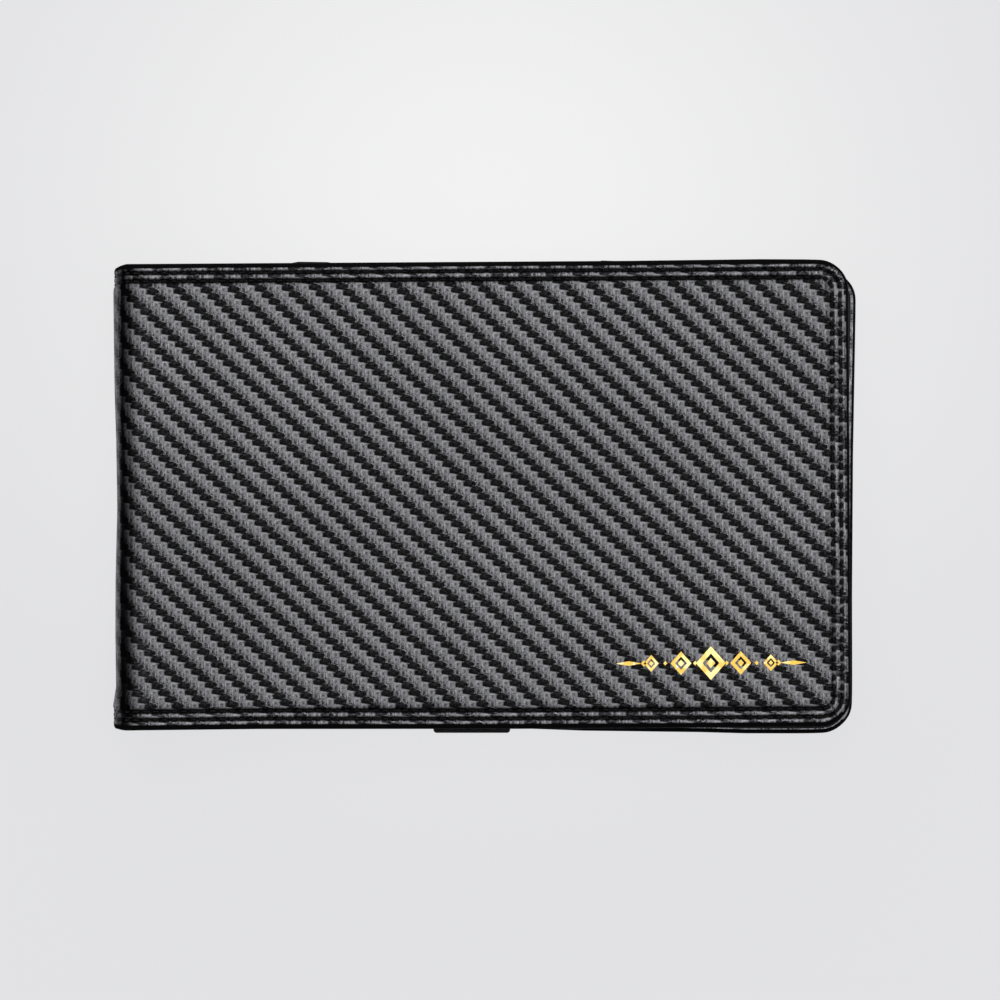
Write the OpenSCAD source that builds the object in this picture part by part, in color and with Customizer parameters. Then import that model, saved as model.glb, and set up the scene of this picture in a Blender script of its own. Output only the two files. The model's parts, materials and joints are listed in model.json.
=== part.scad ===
// Bifold wallet with a hinged money clip on its spine, lying closed on its rear cover.
// +Z is up, +X runs from the fold to the free edge, +Y is the top of the covers.
// Each leather panel is a turned-edge build: a skin folded round a stiff board, with a lining over the hem.

/* [Covers] */
// Width of the front cover, from the outside of the fold to the free edge
front_w = 108.8; // [106:0.1:114]
// Height of the front cover
front_h = 69; // [66:0.1:76]
// How far the rear cover stands out past the front one at the free edge and at the bottom
rear_step = 0.6; // [0.2:0.1:1]
// Corner radius of the covers at the free edge
corner_r = 4.3; // [3:0.1:8]
// Outside radius of the two creases of the fold
crease_r = 3; // [2.4:0.1:4]

/* [Leather and board] */
// Thickness of the outer leather
skin_t = 0.8; // [0.6:0.1:1]
// Thickness of the stiff board under the leather
board_t = 0.5; // [0.4:0.1:0.8]
// Thickness of the pared hem that is turned over the board
hem_t = 0.3; // [0.2:0.05:0.4]
// Width of the turned hem
hem_w = 6; // [4:0.5:8]
// Thickness of the lining
lining_t = 0.2; // [0.15:0.05:0.3]
// Thickness of one card pocket sheet
pocket_t = 0.4; // [0.3:0.05:0.6]

/* [Pockets] */
// Height of the space in one card slot
slot_gap = 0.8; // [0.8:0.05:1.2]
// Width of the sewn seam down each side of a pocket
seam_w = 4; // [2:0.5:5]
// Height of the mouth of the lowest card slot above the bottom of the cover
mouth_y = 44; // [40:0.5:46]
// Step from one slot mouth to the next
mouth_step = 9; // [7:0.5:9]
// Height at which the first card stands above the bottom of the cover
card_y = 3.5; // [3:0.1:4]
// Step from one card to the next
card_step = 5; // [4:0.5:5]
// Width of the see-through window
window_w = 74; // [60:1:80]
// Height of the see-through window
window_h = 42; // [36:1:44]

/* [Quick pocket] */
// Height of the space for a card and the pull strap in the outside pocket
quick_gap = 1.2; // [1.2:0.05:1.5]
// Width of the pull strap
strap_w = 11; // [8:0.5:16]
// Thickness of the pull strap
strap_t = 0.4; // [0.3:0.05:0.4]
// How far the strap's end stands out past the bottom of the rear cover
strap_out = 0.3; // [0.2:0.1:2]

/* [Clip] */
// Space between the two inner faces, where the notes and the clip lie
note_gap = 5.8; // [5.6:0.1:8]
// Width of the clip arm
arm_w = 5.2; // [4:0.1:5.2]
// Width of the clip arm at its nose
nose_w = 4.2; // [3:0.1:4.4]
// Thickness of the clip's sheet steel
steel_t = 0.6; // [0.5:0.05:0.7]
// Thickness of the cam spring
spring_t = 0.35; // [0.3:0.05:0.4]
// Diameter of the hinge pin
pin_d = 1.4; // [1.2:0.1:1.6]
// Distance from the hinge pin to the flats of the cam
cam_flat = 1.3; // [1.2:0.05:1.4]
// Length of the clip arm from the hinge pin to its tip
arm_len = 58.5; // [50:0.5:60]

/* [Hidden] */
$fn = 64;
eps = 0.01;
cut = 1;

// heights of the layers, from the surface it lies on to the top of the front cover
quick_t = 0.6;
rear_z = quick_t + quick_gap;
panel_t = skin_t + board_t + hem_t + lining_t;
slip_gap = 0.85;
slip_t = 0.5;
window_gap = 0.9;
frame_t = 0.6;
film_t = 0.25;
slip_z = rear_z + panel_t + slip_gap;
window_z = slip_z + slip_t + window_gap;
rear_in_z = window_z + frame_t;
front_in_z = rear_in_z + note_gap;
slots = 3;
front_z = front_in_z + slots * (pocket_t + slot_gap) + panel_t;

// outline of the covers in plan, centred on the whole closed wallet
total_w = front_w + rear_step;
total_h = front_h + rear_step + strap_out;
fold_x = -total_w / 2;
front_x = fold_x + front_w;
rear_x = front_x + rear_step;
top_y = total_h / 2;
front_y = top_y - front_h;
rear_y = front_y - rear_step;
mid_y = (top_y + front_y) / 2;
crease_gap = 0.7;
lining_in = 0.7;
bar_gap = 0.05;

// pockets start clear of the fold, so that the covers can close on the clip
pocket_x = fold_x + 7.2;
window_r = 3;
rebate = 2;
slip_mouth = top_y - 2.4;
window_mouth = top_y - 8;
quick_x = fold_x + crease_r + 2;
quick_in = 0.8;
quick_mouth = rear_y + 3;
strap_x = -1.7;
strap_len = 52;
strap_z = quick_t + quick_gap - strap_t - 0.1;

// the clip stands on the inside of the spine
spine_t = panel_t + 0.4;
spine_lining_t = 0.3;
spine_board_t = 0.6;
clip_z = (rear_in_z + front_in_z) / 2;
spine_low = rear_z + crease_r;
spine_high = front_z - crease_r;
spine_edge = 0.15;
base_x = fold_x + skin_t + spine_board_t + hem_t + spine_lining_t;
seat_x = base_x + steel_t;
spring_x = seat_x + spring_t;
pin_x = spring_x + cam_flat;
pin_y = mid_y - 28.7;
pin_r = pin_d / 2;
pin_fit = 0.05;
pin_head_r = 1.1;
pin_head_t = 0.35;
cam_r = 1.5;
side_fit = 0.1;
ear_in = arm_w / 2 + side_fit;
ear_out = ear_in + steel_t;
ear_r = 1.9;
base_top = mid_y + 29.2;
flange_t = 0.55;
flange_x = spring_x + 0.1;
web_x = flange_x + 1.4;
web_out = web_x + steel_t;
curl_r = 1.2;
tip_y = pin_y + arm_len;
curl_y = tip_y - curl_r - steel_t;
channel_y = curl_y - 1.8;
web_y = pin_y + 1.6;
backing_w = 5.4;
backing_t = 0.5;
backing_low = pin_y + 4;
backing_high = mid_y + 25;
rivet_low = pin_y + 9.5;
rivet_high = mid_y + 21;
rivet_r = 1;
rivet_head_r = 1.55;
rivet_head_t = 0.5;
rivet_tail_t = 0.25;
spring_w = 4.8;
spring_len = 13.6;

carbon = [0.11, 0.11, 0.12];
lining_black = [0.07, 0.07, 0.07];
pocket_black = [0.09, 0.09, 0.09];
board_grey = [0.45, 0.43, 0.4];
steel = [0.78, 0.79, 0.8];
spring_steel = [0.55, 0.57, 0.6];
film_clear = [0.85, 0.9, 0.92, 0.5];

// ---------------------------------------------------------------- shared shapes

// Rectangle from one corner to the other, with its two corners at the free edge rounded
module free_edge_outline(x0, x1, y0, y1, r) {
    translate([x0, y0]) square([x1 - r - x0, y1 - y0]);
    translate([x0, y0 + r]) square([x1 - x0, y1 - y0 - 2 * r]);
    for (y = [y0 + r, y1 - r])
        translate([x1 - r, y]) circle(r);
}

// Outline of a cover drawn in by a margin on its three open edges
module cover_outline(x0, x1, y0, margin) {
    free_edge_outline(x0, x1 - margin, y0 + margin, top_y - margin, max(corner_r - margin, 0.5));
}

// Plate of one cover whose three open edges are full rounds
module round_edged_plate(x1, y0, t) {
    x0 = fold_x + crease_r;
    r = t / 2;
    linear_extrude(t) cover_outline(x0, x1, y0, r);
    for (y = [y0 + r, top_y - r])
        translate([x0, y, r])
            rotate([0, 90, 0]) cylinder(r = r, h = x1 - corner_r - x0);
    translate([x1 - r, y0 + corner_r, r])
        rotate([-90, 0, 0]) cylinder(r = r, h = top_y - y0 - 2 * corner_r);
    translate([x1 - corner_r, top_y - corner_r, r]) round_corner(0, r);
    translate([x1 - corner_r, y0 + corner_r, r]) round_corner(-90, r);
}

// Quarter ring that carries a full round edge round a corner
module round_corner(turn, r) {
    rotate([0, 0, turn])
        rotate_extrude(angle = 90)
            translate([corner_r - r, 0]) circle(r);
}

// Skin of one cover with its edges turned over, outer face down
module turned_skin(x1, y0) {
    inside_x = fold_x + crease_r - cut;
    difference() {
        round_edged_plate(x1, y0, skin_t + board_t + hem_t);
        translate([0, 0, skin_t])
            linear_extrude(board_t)
                cover_outline(inside_x, x1, y0, skin_t);
        translate([0, 0, skin_t + board_t])
            linear_extrude(hem_t + cut)
                cover_outline(inside_x, x1, y0, skin_t + hem_w);
    }
}

// Board of one cover: it fills the skin and steps up between the hems
module stepped_board(x1, y0) {
    board_x = fold_x + crease_r + crease_gap;
    fit = 0.05;
    linear_extrude(board_t)
        cover_outline(board_x, x1, y0, skin_t + fit);
    translate([0, 0, board_t - eps])
        linear_extrude(hem_t + eps)
            cover_outline(board_x, x1, y0, skin_t + hem_w + fit);
}

// Part of the leather bent round a crease, between two angles in the XZ plane
module crease_skin(z, from, to) {
    far = 2 * crease_r;
    mid = (from + to) / 2;
    translate([fold_x + crease_r, mid_y, z])
        rotate([90, 0, 0])
            linear_extrude(front_h, center = true)
                intersection() {
                    difference() {
                        circle(crease_r);
                        circle(crease_r - skin_t);
                    }
                    polygon([[0, 0], far * [cos(from), sin(from)],
                             far * [cos(mid), sin(mid)], far * [cos(to), sin(to)]]);
                }
}

// Three bars that sew a pocket along both sides and along its closed end
module seam_bars(x0, x1, y_end, y_closed, y_mouth, t, corner) {
    side_y = min(y_end, y_mouth);
    side_h = abs(y_mouth - y_end);
    end_y = min(y_end, y_closed);
    translate([x0, side_y]) cube([seam_w, side_h, t]);
    intersection() {
        translate([x1 - seam_w, side_y]) cube([seam_w, side_h, t]);
        linear_extrude(t)
            free_edge_outline(x0, x1, min(y_end, rear_y + lining_in), max(y_end, top_y - quick_in), corner);
    }
    translate([x0 + seam_w + bar_gap, end_y])
        cube([x1 - x0 - 2 * (seam_w + bar_gap), abs(y_closed - y_end), t]);
}

// Sheet of a pocket that opens towards the top
module pocket_sheet(x1, y0, y_mouth, t) {
    r = corner_r - lining_in;
    linear_extrude(t)
        intersection() {
            free_edge_outline(pocket_x, x1 - lining_in, y0 + lining_in, top_y - lining_in, r);
            translate([pocket_x - cut, y0]) square([x1 - pocket_x + cut, y_mouth - y0]);
        }
}

// ---------------------------------------------------------------- rear cover

// Patch on the outside of the rear cover, open towards the bottom
module quick_pocket() {
    color(carbon)
        linear_extrude(quick_t)
            intersection() {
                free_edge_outline(quick_x, rear_x - quick_in, rear_y, top_y - quick_in, corner_r - quick_in);
                translate([quick_x, quick_mouth]) square([total_w, total_h]);
            }
}

module quick_pocket_seams() {
    color(lining_black)
        translate([0, 0, quick_t])
            seam_bars(quick_x, rear_x - quick_in, top_y - quick_in, top_y - quick_in - seam_w,
                      quick_mouth, quick_gap, corner_r - quick_in);
}

module rear_skin() {
    color(carbon) {
        translate([0, 0, rear_z]) turned_skin(rear_x, rear_y);
        crease_skin(rear_z + crease_r, 226, 270);
    }
}

module rear_board() {
    color(board_grey)
        translate([0, 0, rear_z + skin_t]) stepped_board(rear_x, rear_y);
}

module rear_lining() {
    color(lining_black)
        translate([0, 0, rear_z + panel_t - lining_t])
            linear_extrude(lining_t)
                cover_outline(fold_x + crease_r + crease_gap, rear_x, rear_y, lining_in);
}

// Divider between the slip pocket and the window pocket
module slip_pocket() {
    color(pocket_black)
        translate([0, 0, slip_z]) pocket_sheet(rear_x, rear_y, slip_mouth, slip_t);
}

module rear_pocket_seams() {
    x1 = rear_x - lining_in;
    y0 = rear_y + lining_in;
    color(pocket_black) {
        translate([0, 0, slip_z - slip_gap])
            seam_bars(pocket_x, x1, y0, rear_y + card_y, slip_mouth, slip_gap, corner_r - lining_in);
        translate([0, 0, window_z - window_gap])
            seam_bars(pocket_x, x1, y0, rear_y + card_y, window_mouth, window_gap, corner_r - lining_in);
    }
}

// Centre of the see-through window in plan
window_c = [(pocket_x + rear_x - lining_in) / 2, (rear_y + lining_in + window_mouth) / 2];

module rounded_window(w, h, r) {
    translate(window_c) {
        square([w, h - 2 * r], center = true);
        square([w - 2 * r, h], center = true);
        for (sx = [-1, 1], sy = [-1, 1])
            translate([sx * (w / 2 - r), sy * (h / 2 - r)]) circle(r);
    }
}

module id_window_frame() {
    color(pocket_black)
        translate([0, 0, window_z])
            difference() {
                pocket_sheet(rear_x, rear_y, window_mouth, frame_t);
                translate([0, 0, -cut])
                    linear_extrude(frame_t + 2 * cut)
                        rounded_window(window_w, window_h, window_r);
                translate([0, 0, -cut])
                    linear_extrude(film_t + cut)
                        rounded_window(window_w + 2 * rebate, window_h + 2 * rebate, window_r + rebate);
            }
}

module id_window_film() {
    fit = 0.05;
    color(film_clear)
        translate([0, 0, window_z])
            linear_extrude(film_t)
                rounded_window(window_w + 2 * (rebate - fit), window_h + 2 * (rebate - fit),
                               window_r + rebate - fit);
}

// Strap in the quick pocket that draws the card out
module pull_strap() {
    end_r = 1.5;
    y0 = rear_y - strap_out;
    color(lining_black)
        translate([0, 0, strap_z])
            linear_extrude(strap_t) {
                translate([strap_x - strap_w / 2, y0 + end_r]) square([strap_w, strap_len - end_r]);
                translate([strap_x - strap_w / 2 + end_r, y0]) square([strap_w - 2 * end_r, 2 * end_r]);
                for (s = [-1, 1])
                    translate([strap_x + s * (strap_w / 2 - end_r), y0 + end_r]) circle(end_r);
            }
}

// ---------------------------------------------------------------- spine

// Strip across the fold, between two heights and two distances from its outer face
module spine_slab(x0, x1, z0, z1, margin) {
    translate([fold_x + x0, front_y + margin, z0])
        cube([x1 - x0, front_h - 2 * margin, z1 - z0]);
}

module spine_skin() {
    inside = skin_t + spine_board_t;
    color(carbon) {
        difference() {
            spine_slab(0, inside + hem_t, spine_low, spine_high, 0);
            spine_slab(skin_t, inside, spine_low - cut, spine_high + cut, skin_t);
            spine_slab(inside - cut / 2, inside + hem_t + cut, spine_low - cut, spine_high + cut, skin_t + hem_w);
        }
        crease_skin(spine_low, 180, 224);
        crease_skin(spine_high, 136, 180);
    }
}

module spine_board() {
    fit = 0.05;
    inside = skin_t + spine_board_t;
    z0 = spine_low + spine_edge;
    z1 = spine_high - spine_edge;
    back_x = base_x - spine_lining_t - backing_t;
    color(board_grey)
        difference() {
            union() {
                spine_slab(skin_t, inside, z0, z1, skin_t + fit);
                spine_slab(inside - eps, inside + hem_t, z0, z1, skin_t + hem_w + fit);
            }
            translate([back_x, backing_low - fit, clip_z - backing_w / 2 - fit])
                cube([backing_t + cut, backing_high - backing_low + 2 * fit, backing_w + 2 * fit]);
            for (y = [rivet_low, rivet_high])
                translate([back_x - rivet_tail_t - fit, y, clip_z])
                    rotate([0, 90, 0]) cylinder(r = rivet_head_r + fit, h = rivet_tail_t + fit + cut);
        }
}

module spine_lining() {
    color(lining_black)
        difference() {
            translate([base_x - spine_lining_t, front_y + lining_in, spine_low + spine_edge])
                cube([spine_lining_t, front_h - 2 * lining_in, spine_high - spine_low - 2 * spine_edge]);
            rivet_holes(base_x - spine_lining_t, spine_lining_t);
        }
}

// Holes for both rivets through a layer
module rivet_holes(x, t) {
    for (y = [rivet_low, rivet_high])
        translate([x - cut, y, clip_z])
            rotate([0, 90, 0]) cylinder(r = rivet_r + eps, h = t + 2 * cut);
}

module clip_backing_plate() {
    x = base_x - spine_lining_t - backing_t;
    color(spring_steel)
        difference() {
            translate([x, backing_low, clip_z - backing_w / 2])
                cube([backing_t, backing_high - backing_low, backing_w]);
            rivet_holes(x, backing_t);
        }
}

// ---------------------------------------------------------------- clip

// Base plate on the inside of the spine, with two ears that carry the hinge pin
module clip_base() {
    plate_y = pin_y - ear_r;
    end_r = 2;
    color(steel)
        difference() {
            union() {
                translate([base_x, plate_y, clip_z - ear_out])
                    cube([steel_t, base_top - end_r - plate_y, 2 * ear_out]);
                translate([base_x, base_top - 2 * end_r, clip_z - ear_out + end_r])
                    cube([steel_t, 2 * end_r, 2 * (ear_out - end_r)]);
                for (s = [-1, 1])
                    translate([base_x, base_top - end_r, clip_z + s * (ear_out - end_r)])
                        rotate([0, 90, 0]) cylinder(r = end_r, h = steel_t);
                for (z = [clip_z - ear_out, clip_z + ear_in])
                    translate([0, 0, z]) ear();
            }
            translate([pin_x, pin_y, clip_z - ear_out - cut])
                cylinder(r = pin_r + eps, h = 2 * (ear_out + cut));
            rivet_holes(base_x, steel_t);
        }
}

module ear() {
    translate([base_x, pin_y - ear_r]) cube([pin_x - base_x, 2 * ear_r, steel_t]);
    translate([pin_x, pin_y]) cylinder(r = ear_r, h = steel_t);
}

// Domed rivets through the base plate, the lining and the backing plate
module clip_rivets() {
    tail_x = base_x - spine_lining_t - backing_t;
    color(steel) {
        rivet(rivet_low, spring_x, tail_x);
        rivet(rivet_high, seat_x, tail_x);
    }
}

module rivet(y, head_x, tail_x) {
    dome_r = (pow(rivet_head_r, 2) + pow(rivet_head_t, 2)) / (2 * rivet_head_t);
    translate([tail_x - rivet_tail_t, y, clip_z])
        rotate([0, 90, 0]) {
            cylinder(r = rivet_head_r, h = rivet_tail_t);
            cylinder(r = rivet_r, h = head_x - tail_x + rivet_tail_t + eps);
        }
    translate([head_x, y, clip_z])
        rotate([0, 90, 0])
            intersection() {
                translate([0, 0, rivet_head_t - dome_r]) sphere(dome_r);
                cylinder(r = rivet_head_r, h = rivet_head_t + cut);
            }
}

// Leaf spring under the cam, held by the lower rivet
module cam_spring() {
    y0 = pin_y - cam_flat;
    color(spring_steel)
        difference() {
            translate([seat_x, y0, clip_z - spring_w / 2]) cube([spring_t, spring_len, spring_w]);
            rivet_holes(seat_x, spring_t);
        }
}

module hinge_pin() {
    color(steel)
        translate([pin_x, pin_y, clip_z]) {
            cylinder(r = pin_r, h = 2 * ear_out + pin_head_t, center = true);
            for (s = [-1, 1])
                translate([0, 0, s * (ear_out + pin_head_t / 2)])
                    cylinder(r = pin_head_r, h = pin_head_t, center = true);
        }
}

// Outline of the arm seen along X, drawn in by a margin
module arm_outline(y0, y1, margin) {
    taper_y = pin_y + arm_len * 0.55;
    w0 = arm_w / 2 - margin;
    w1 = nose_w / 2 - margin;
    polygon([[y0, -w0], [taper_y, -w0], [y1, -w1], [y1, w1], [taper_y, w0], [y0, w0]]);
}

// Sheet through the arm's outline from one distance from the fold to another
module arm_layer(x0, x1) {
    translate([x0, 0, clip_z])
        rotate([90, 0, 90])
            linear_extrude(x1 - x0) children();
}

// Channel arm with a cam heel on the pin and a finger lift at its tip
module clip_arm() {
    color(steel)
        difference() {
            union() {
                difference() {
                    arm_layer(flange_x, web_out) arm_outline(pin_y, channel_y, 0);
                    arm_layer(flange_x - cut, web_x) arm_outline(pin_y - cut, channel_y - flange_t, flange_t);
                    translate([flange_x - cut, pin_y - cut, clip_z - arm_w / 2 + flange_t])
                        cube([web_out - flange_x + 2 * cut, web_y - pin_y + cut, arm_w - 2 * flange_t]);
                }
                for (z = [clip_z - arm_w / 2, clip_z + arm_w / 2 - flange_t])
                    translate([pin_x, pin_y, z]) cam();
                translate([web_x, channel_y - flange_t, clip_z - nose_w / 2])
                    cube([steel_t, curl_y - channel_y + flange_t, nose_w]);
                finger_lift();
            }
            translate([pin_x, pin_y, clip_z - arm_w])
                cylinder(r = pin_r + pin_fit, h = 2 * arm_w);
        }
}

// Heel of the arm: flats hold it shut or open, and rounded corners press the spring down between
module cam() {
    linear_extrude(flange_t)
        intersection() {
            square(2 * cam_flat, center = true);
            circle(cam_r);
        }
}

// Tip of the arm curled away from the spine
module finger_lift() {
    far = 2 * (curl_r + steel_t);
    translate([web_out + curl_r, curl_y, clip_z - nose_w / 2])
        linear_extrude(nose_w)
            intersection() {
                difference() {
                    circle(curl_r + steel_t);
                    circle(curl_r);
                }
                polygon([[0, 0], [-far, 0], [-far, far], far * [cos(100), sin(100)]]);
            }
}

// ---------------------------------------------------------------- front cover

module front_skin() {
    color(carbon) {
        translate([0, 0, front_z]) mirror([0, 0, 1]) turned_skin(front_x, front_y);
        crease_skin(front_z - crease_r, 90, 134);
    }
}

module front_board() {
    color(board_grey)
        translate([0, 0, front_z - skin_t]) mirror([0, 0, 1]) stepped_board(front_x, front_y);
}

module front_lining() {
    color(lining_black)
        translate([0, 0, front_z - panel_t])
            linear_extrude(lining_t)
                cover_outline(fold_x + crease_r + crease_gap, front_x, front_y, lining_in);
}

// Height above the rear face at which slot n starts, where slot 1 is next to the lining
function slot_z(n) = front_z - panel_t - n * (slot_gap + pocket_t);

// Mouth of slot n, where the slot nearest the notes is the lowest
function slot_mouth(n) = front_y + mouth_y + (slots - n) * mouth_step;

module front_pocket(n) {
    color(pocket_black)
        translate([0, 0, slot_z(n)]) pocket_sheet(front_x, front_y, slot_mouth(n), pocket_t);
}

module front_pocket_1() {
    front_pocket(1);
}

module front_pocket_2() {
    front_pocket(2);
}

module front_pocket_3() {
    front_pocket(3);
}

module front_pocket_seams() {
    y0 = front_y + lining_in;
    color(pocket_black)
        for (n = [1 : slots])
            translate([0, 0, slot_z(n) + pocket_t])
                seam_bars(pocket_x, front_x - lining_in, y0, front_y + card_y + (slots - n) * card_step,
                          slot_mouth(n), slot_gap, corner_r - lining_in);
}

quick_pocket();
quick_pocket_seams();
rear_skin();
rear_board();
rear_lining();
slip_pocket();
rear_pocket_seams();
id_window_frame();
id_window_film();
pull_strap();
spine_skin();
spine_board();
spine_lining();
clip_backing_plate();
clip_base();
clip_rivets();
cam_spring();
hinge_pin();
clip_arm();
front_skin();
front_board();
front_lining();
front_pocket_1();
front_pocket_2();
front_pocket_3();
front_pocket_seams();
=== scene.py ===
# %% [markdown]
# # A carbon-weave bifold with a money clip on its spine
#
# The wallet is made like any leather wallet: stiff boards, a skin folded round them, linings,
# pockets, two rows of stitches, and a steel clip that is riveted to the inside of the spine.
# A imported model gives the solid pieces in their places. This lesson dresses them: it bends the
# outer leather over the two creases, presses in the stitch lines, sews them with real thread,
# and gives each material its own weave, grain or polish.

import json
import math
from functools import partial

import bpy
import numpy as np
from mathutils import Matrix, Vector

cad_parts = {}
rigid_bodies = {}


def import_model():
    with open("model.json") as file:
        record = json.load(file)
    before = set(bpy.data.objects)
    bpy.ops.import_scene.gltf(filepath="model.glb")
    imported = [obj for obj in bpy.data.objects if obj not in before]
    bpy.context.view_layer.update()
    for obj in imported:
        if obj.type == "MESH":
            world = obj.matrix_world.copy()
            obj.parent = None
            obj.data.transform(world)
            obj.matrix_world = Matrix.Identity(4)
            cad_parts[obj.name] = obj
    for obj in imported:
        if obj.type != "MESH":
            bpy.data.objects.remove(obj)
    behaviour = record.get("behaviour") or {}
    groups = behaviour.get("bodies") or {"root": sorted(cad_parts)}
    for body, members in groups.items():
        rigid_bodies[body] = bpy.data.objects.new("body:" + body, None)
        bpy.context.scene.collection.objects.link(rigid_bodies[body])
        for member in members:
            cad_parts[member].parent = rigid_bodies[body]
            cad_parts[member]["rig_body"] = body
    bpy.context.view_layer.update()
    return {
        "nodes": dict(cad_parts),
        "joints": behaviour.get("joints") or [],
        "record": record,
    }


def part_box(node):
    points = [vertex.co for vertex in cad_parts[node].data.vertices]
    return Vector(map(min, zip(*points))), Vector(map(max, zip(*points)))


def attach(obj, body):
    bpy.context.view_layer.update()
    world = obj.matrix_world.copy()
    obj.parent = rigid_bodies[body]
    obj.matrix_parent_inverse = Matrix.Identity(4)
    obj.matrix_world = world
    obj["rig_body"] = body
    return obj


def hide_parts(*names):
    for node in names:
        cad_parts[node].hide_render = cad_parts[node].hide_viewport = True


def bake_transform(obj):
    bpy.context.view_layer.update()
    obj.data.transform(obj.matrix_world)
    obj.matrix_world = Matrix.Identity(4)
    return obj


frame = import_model()
MM = 0.001

# %% [markdown]
# ## Where things are
#
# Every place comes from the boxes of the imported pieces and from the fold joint. A crease that
# bends leather round a radius r turns about a point that lies (1 - pi / 4) r inside the outer
# faces, because then the outer leather keeps its length. So the joint's place gives r.

# %% Read the main sizes, in millimetres
def low(node_name):
    return np.array(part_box(node_name)[0]) / MM


def high(node_name):
    return np.array(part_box(node_name)[1]) / MM


fold_x = low("spine_skin")[0]
front_x, top_y, front_z = high("front_skin")
front_y = low("front_skin")[1]
rear_x = high("rear_skin")[0]
rear_y, rear_z = low("rear_skin")[1:]
spine_fold = next(j for j in frame["joints"] if j["name"] == "spine_fold")
crease_r = (spine_fold["pos_m"][0] / MM - fold_x) / (1 - math.pi / 4)
spine_z = (front_z + rear_z) / 2
spine_half = (front_z - rear_z) / 2 - crease_r
plate_x = fold_x + crease_r  # the flat of a cover starts here
plate_u = spine_half + crease_r * math.pi / 2  # and here, along the leather from mid-spine
corner_r = 4.3  # the outer corners of both covers
print(f"crease radius {crease_r:.2f}, front {front_x - fold_x:.1f} x {top_y - front_y:.1f}")

# %% [markdown]
# ## Camera
#
# The view is straight down on the closed wallet, with the fold on the left. A long lens from
# far away keeps the two covers nearly the same size, so the rear one peeps out at its edges.

# %% Make the camera
LENS, SENSOR, FRAME_WIDTH = 600, 36, 148.0
VIEW_X, VIEW_Y, FARTHEST = 2.5, -0.26, 10
camera = bpy.data.objects.new("camera", bpy.data.cameras.new("camera"))
camera.data.lens = LENS
camera.data.sensor_width = SENSOR
camera.data.clip_end = FARTHEST
camera.location = (VIEW_X * MM, VIEW_Y * MM, (front_z + FRAME_WIDTH * LENS / SENSOR) * MM)
bpy.context.scene.collection.objects.link(camera)
bpy.context.scene.camera = camera
bpy.context.scene.view_settings.view_transform = "Standard"
print(f"camera {camera.location.z:.2f} m above the floor")

# %% [markdown]
# ## Helpers for materials
#
# Each material is a network of nodes, fed by coordinates or by marks that the mesh carries.
# Setting up every node by hand would fill pages, so a few helpers add a node and its links in
# one line. A link is either a plain value, which sets the socket, or another node's output.

# %% Add any node, or the ones used most
def new_material(name):
    material = bpy.data.materials.new(name)
    material.use_nodes = True
    material.node_tree.nodes.clear()
    return material, material.node_tree


def node(tree, kind, settings=(), **links):
    """Adds a node; a link is named after its input, or in_0, in_1 and so on by its number."""
    made = tree.nodes.new(kind)
    for key, value in dict(settings).items():
        setattr(made, key, value)
    for key, value in links.items():
        by_number = key.startswith("in_")
        socket = made.inputs[int(key[3:]) if by_number else key.replace("_", " ")]
        if isinstance(value, bpy.types.NodeSocket):
            tree.links.new(value, socket)
        else:
            socket.default_value = value
    return made


def maths(tree, operation, *values, clamp=False):
    settings = {"operation": operation, "use_clamp": clamp}
    links = {f"in_{i}": value for i, value in enumerate(values)}
    return node(tree, "ShaderNodeMath", settings, **links).outputs[0]


def smooth(tree, value, start, end, low_value=0.0, high_value=1.0):
    """A smooth step: low_value where the value is at start, high_value where it is at end."""
    made = node(tree, "ShaderNodeMapRange", {"interpolation_type": "SMOOTHSTEP"}, Value=value,
                From_Min=start, From_Max=end, To_Min=low_value, To_Max=high_value)
    return made.outputs["Result"]


def product(tree, first, *others):
    for value in others:
        first = maths(tree, "MULTIPLY", first, value)
    return first


print("node helpers ready")

# %% [markdown]
# Colours, noise, bumps and marks come up in nearly every material too. Noise is laid out in
# millimetres, so its scale reads as spots per millimetre, and a bump's height is in metres.

# %% Mix colours and read places
def blend_colours(tree, share, first, second):
    """Mixes two colours by a share from 0 to 1."""
    made = node(tree, "ShaderNodeMix", {"data_type": "RGBA"}, in_0=share, in_6=first, in_7=second)
    return made.outputs[2]


def scaled_colour(tree, colour, tone):
    return node(tree, "ShaderNodeVectorMath", {"operation": "SCALE"}, in_0=colour, in_3=tone).outputs[0]


def grey(value):
    return (value, value, value, 1)


def in_millimetres(tree):
    place = node(tree, "ShaderNodeTexCoord").outputs["Object"]
    return scaled_colour(tree, place, 1 / MM)


def flat_pattern(tree):
    """Places on the flat leather, in millimetres, from the mesh's own pattern layer."""
    return node(tree, "ShaderNodeUVMap", {"uv_map": "pattern"}).outputs[0]


def mark(tree, name):
    """A number that the mesh carries at each point; it is 0 where the mesh has no such mark."""
    return node(tree, "ShaderNodeAttribute", {"attribute_name": name}).outputs["Fac"]


def noise(tree, place, scale, detail):
    return node(tree, "ShaderNodeTexNoise", Vector=place, Scale=scale, Detail=detail).outputs["Fac"]


def relief(tree, height, strength, distance):
    return node(tree, "ShaderNodeBump", Strength=strength, Distance=distance, Height=height).outputs[0]


def principled(tree, **links):
    shader = node(tree, "ShaderNodeBsdfPrincipled", **links)
    node(tree, "ShaderNodeOutputMaterial", Surface=shader.outputs[0])


print("helpers for colour, place and relief ready")
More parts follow.
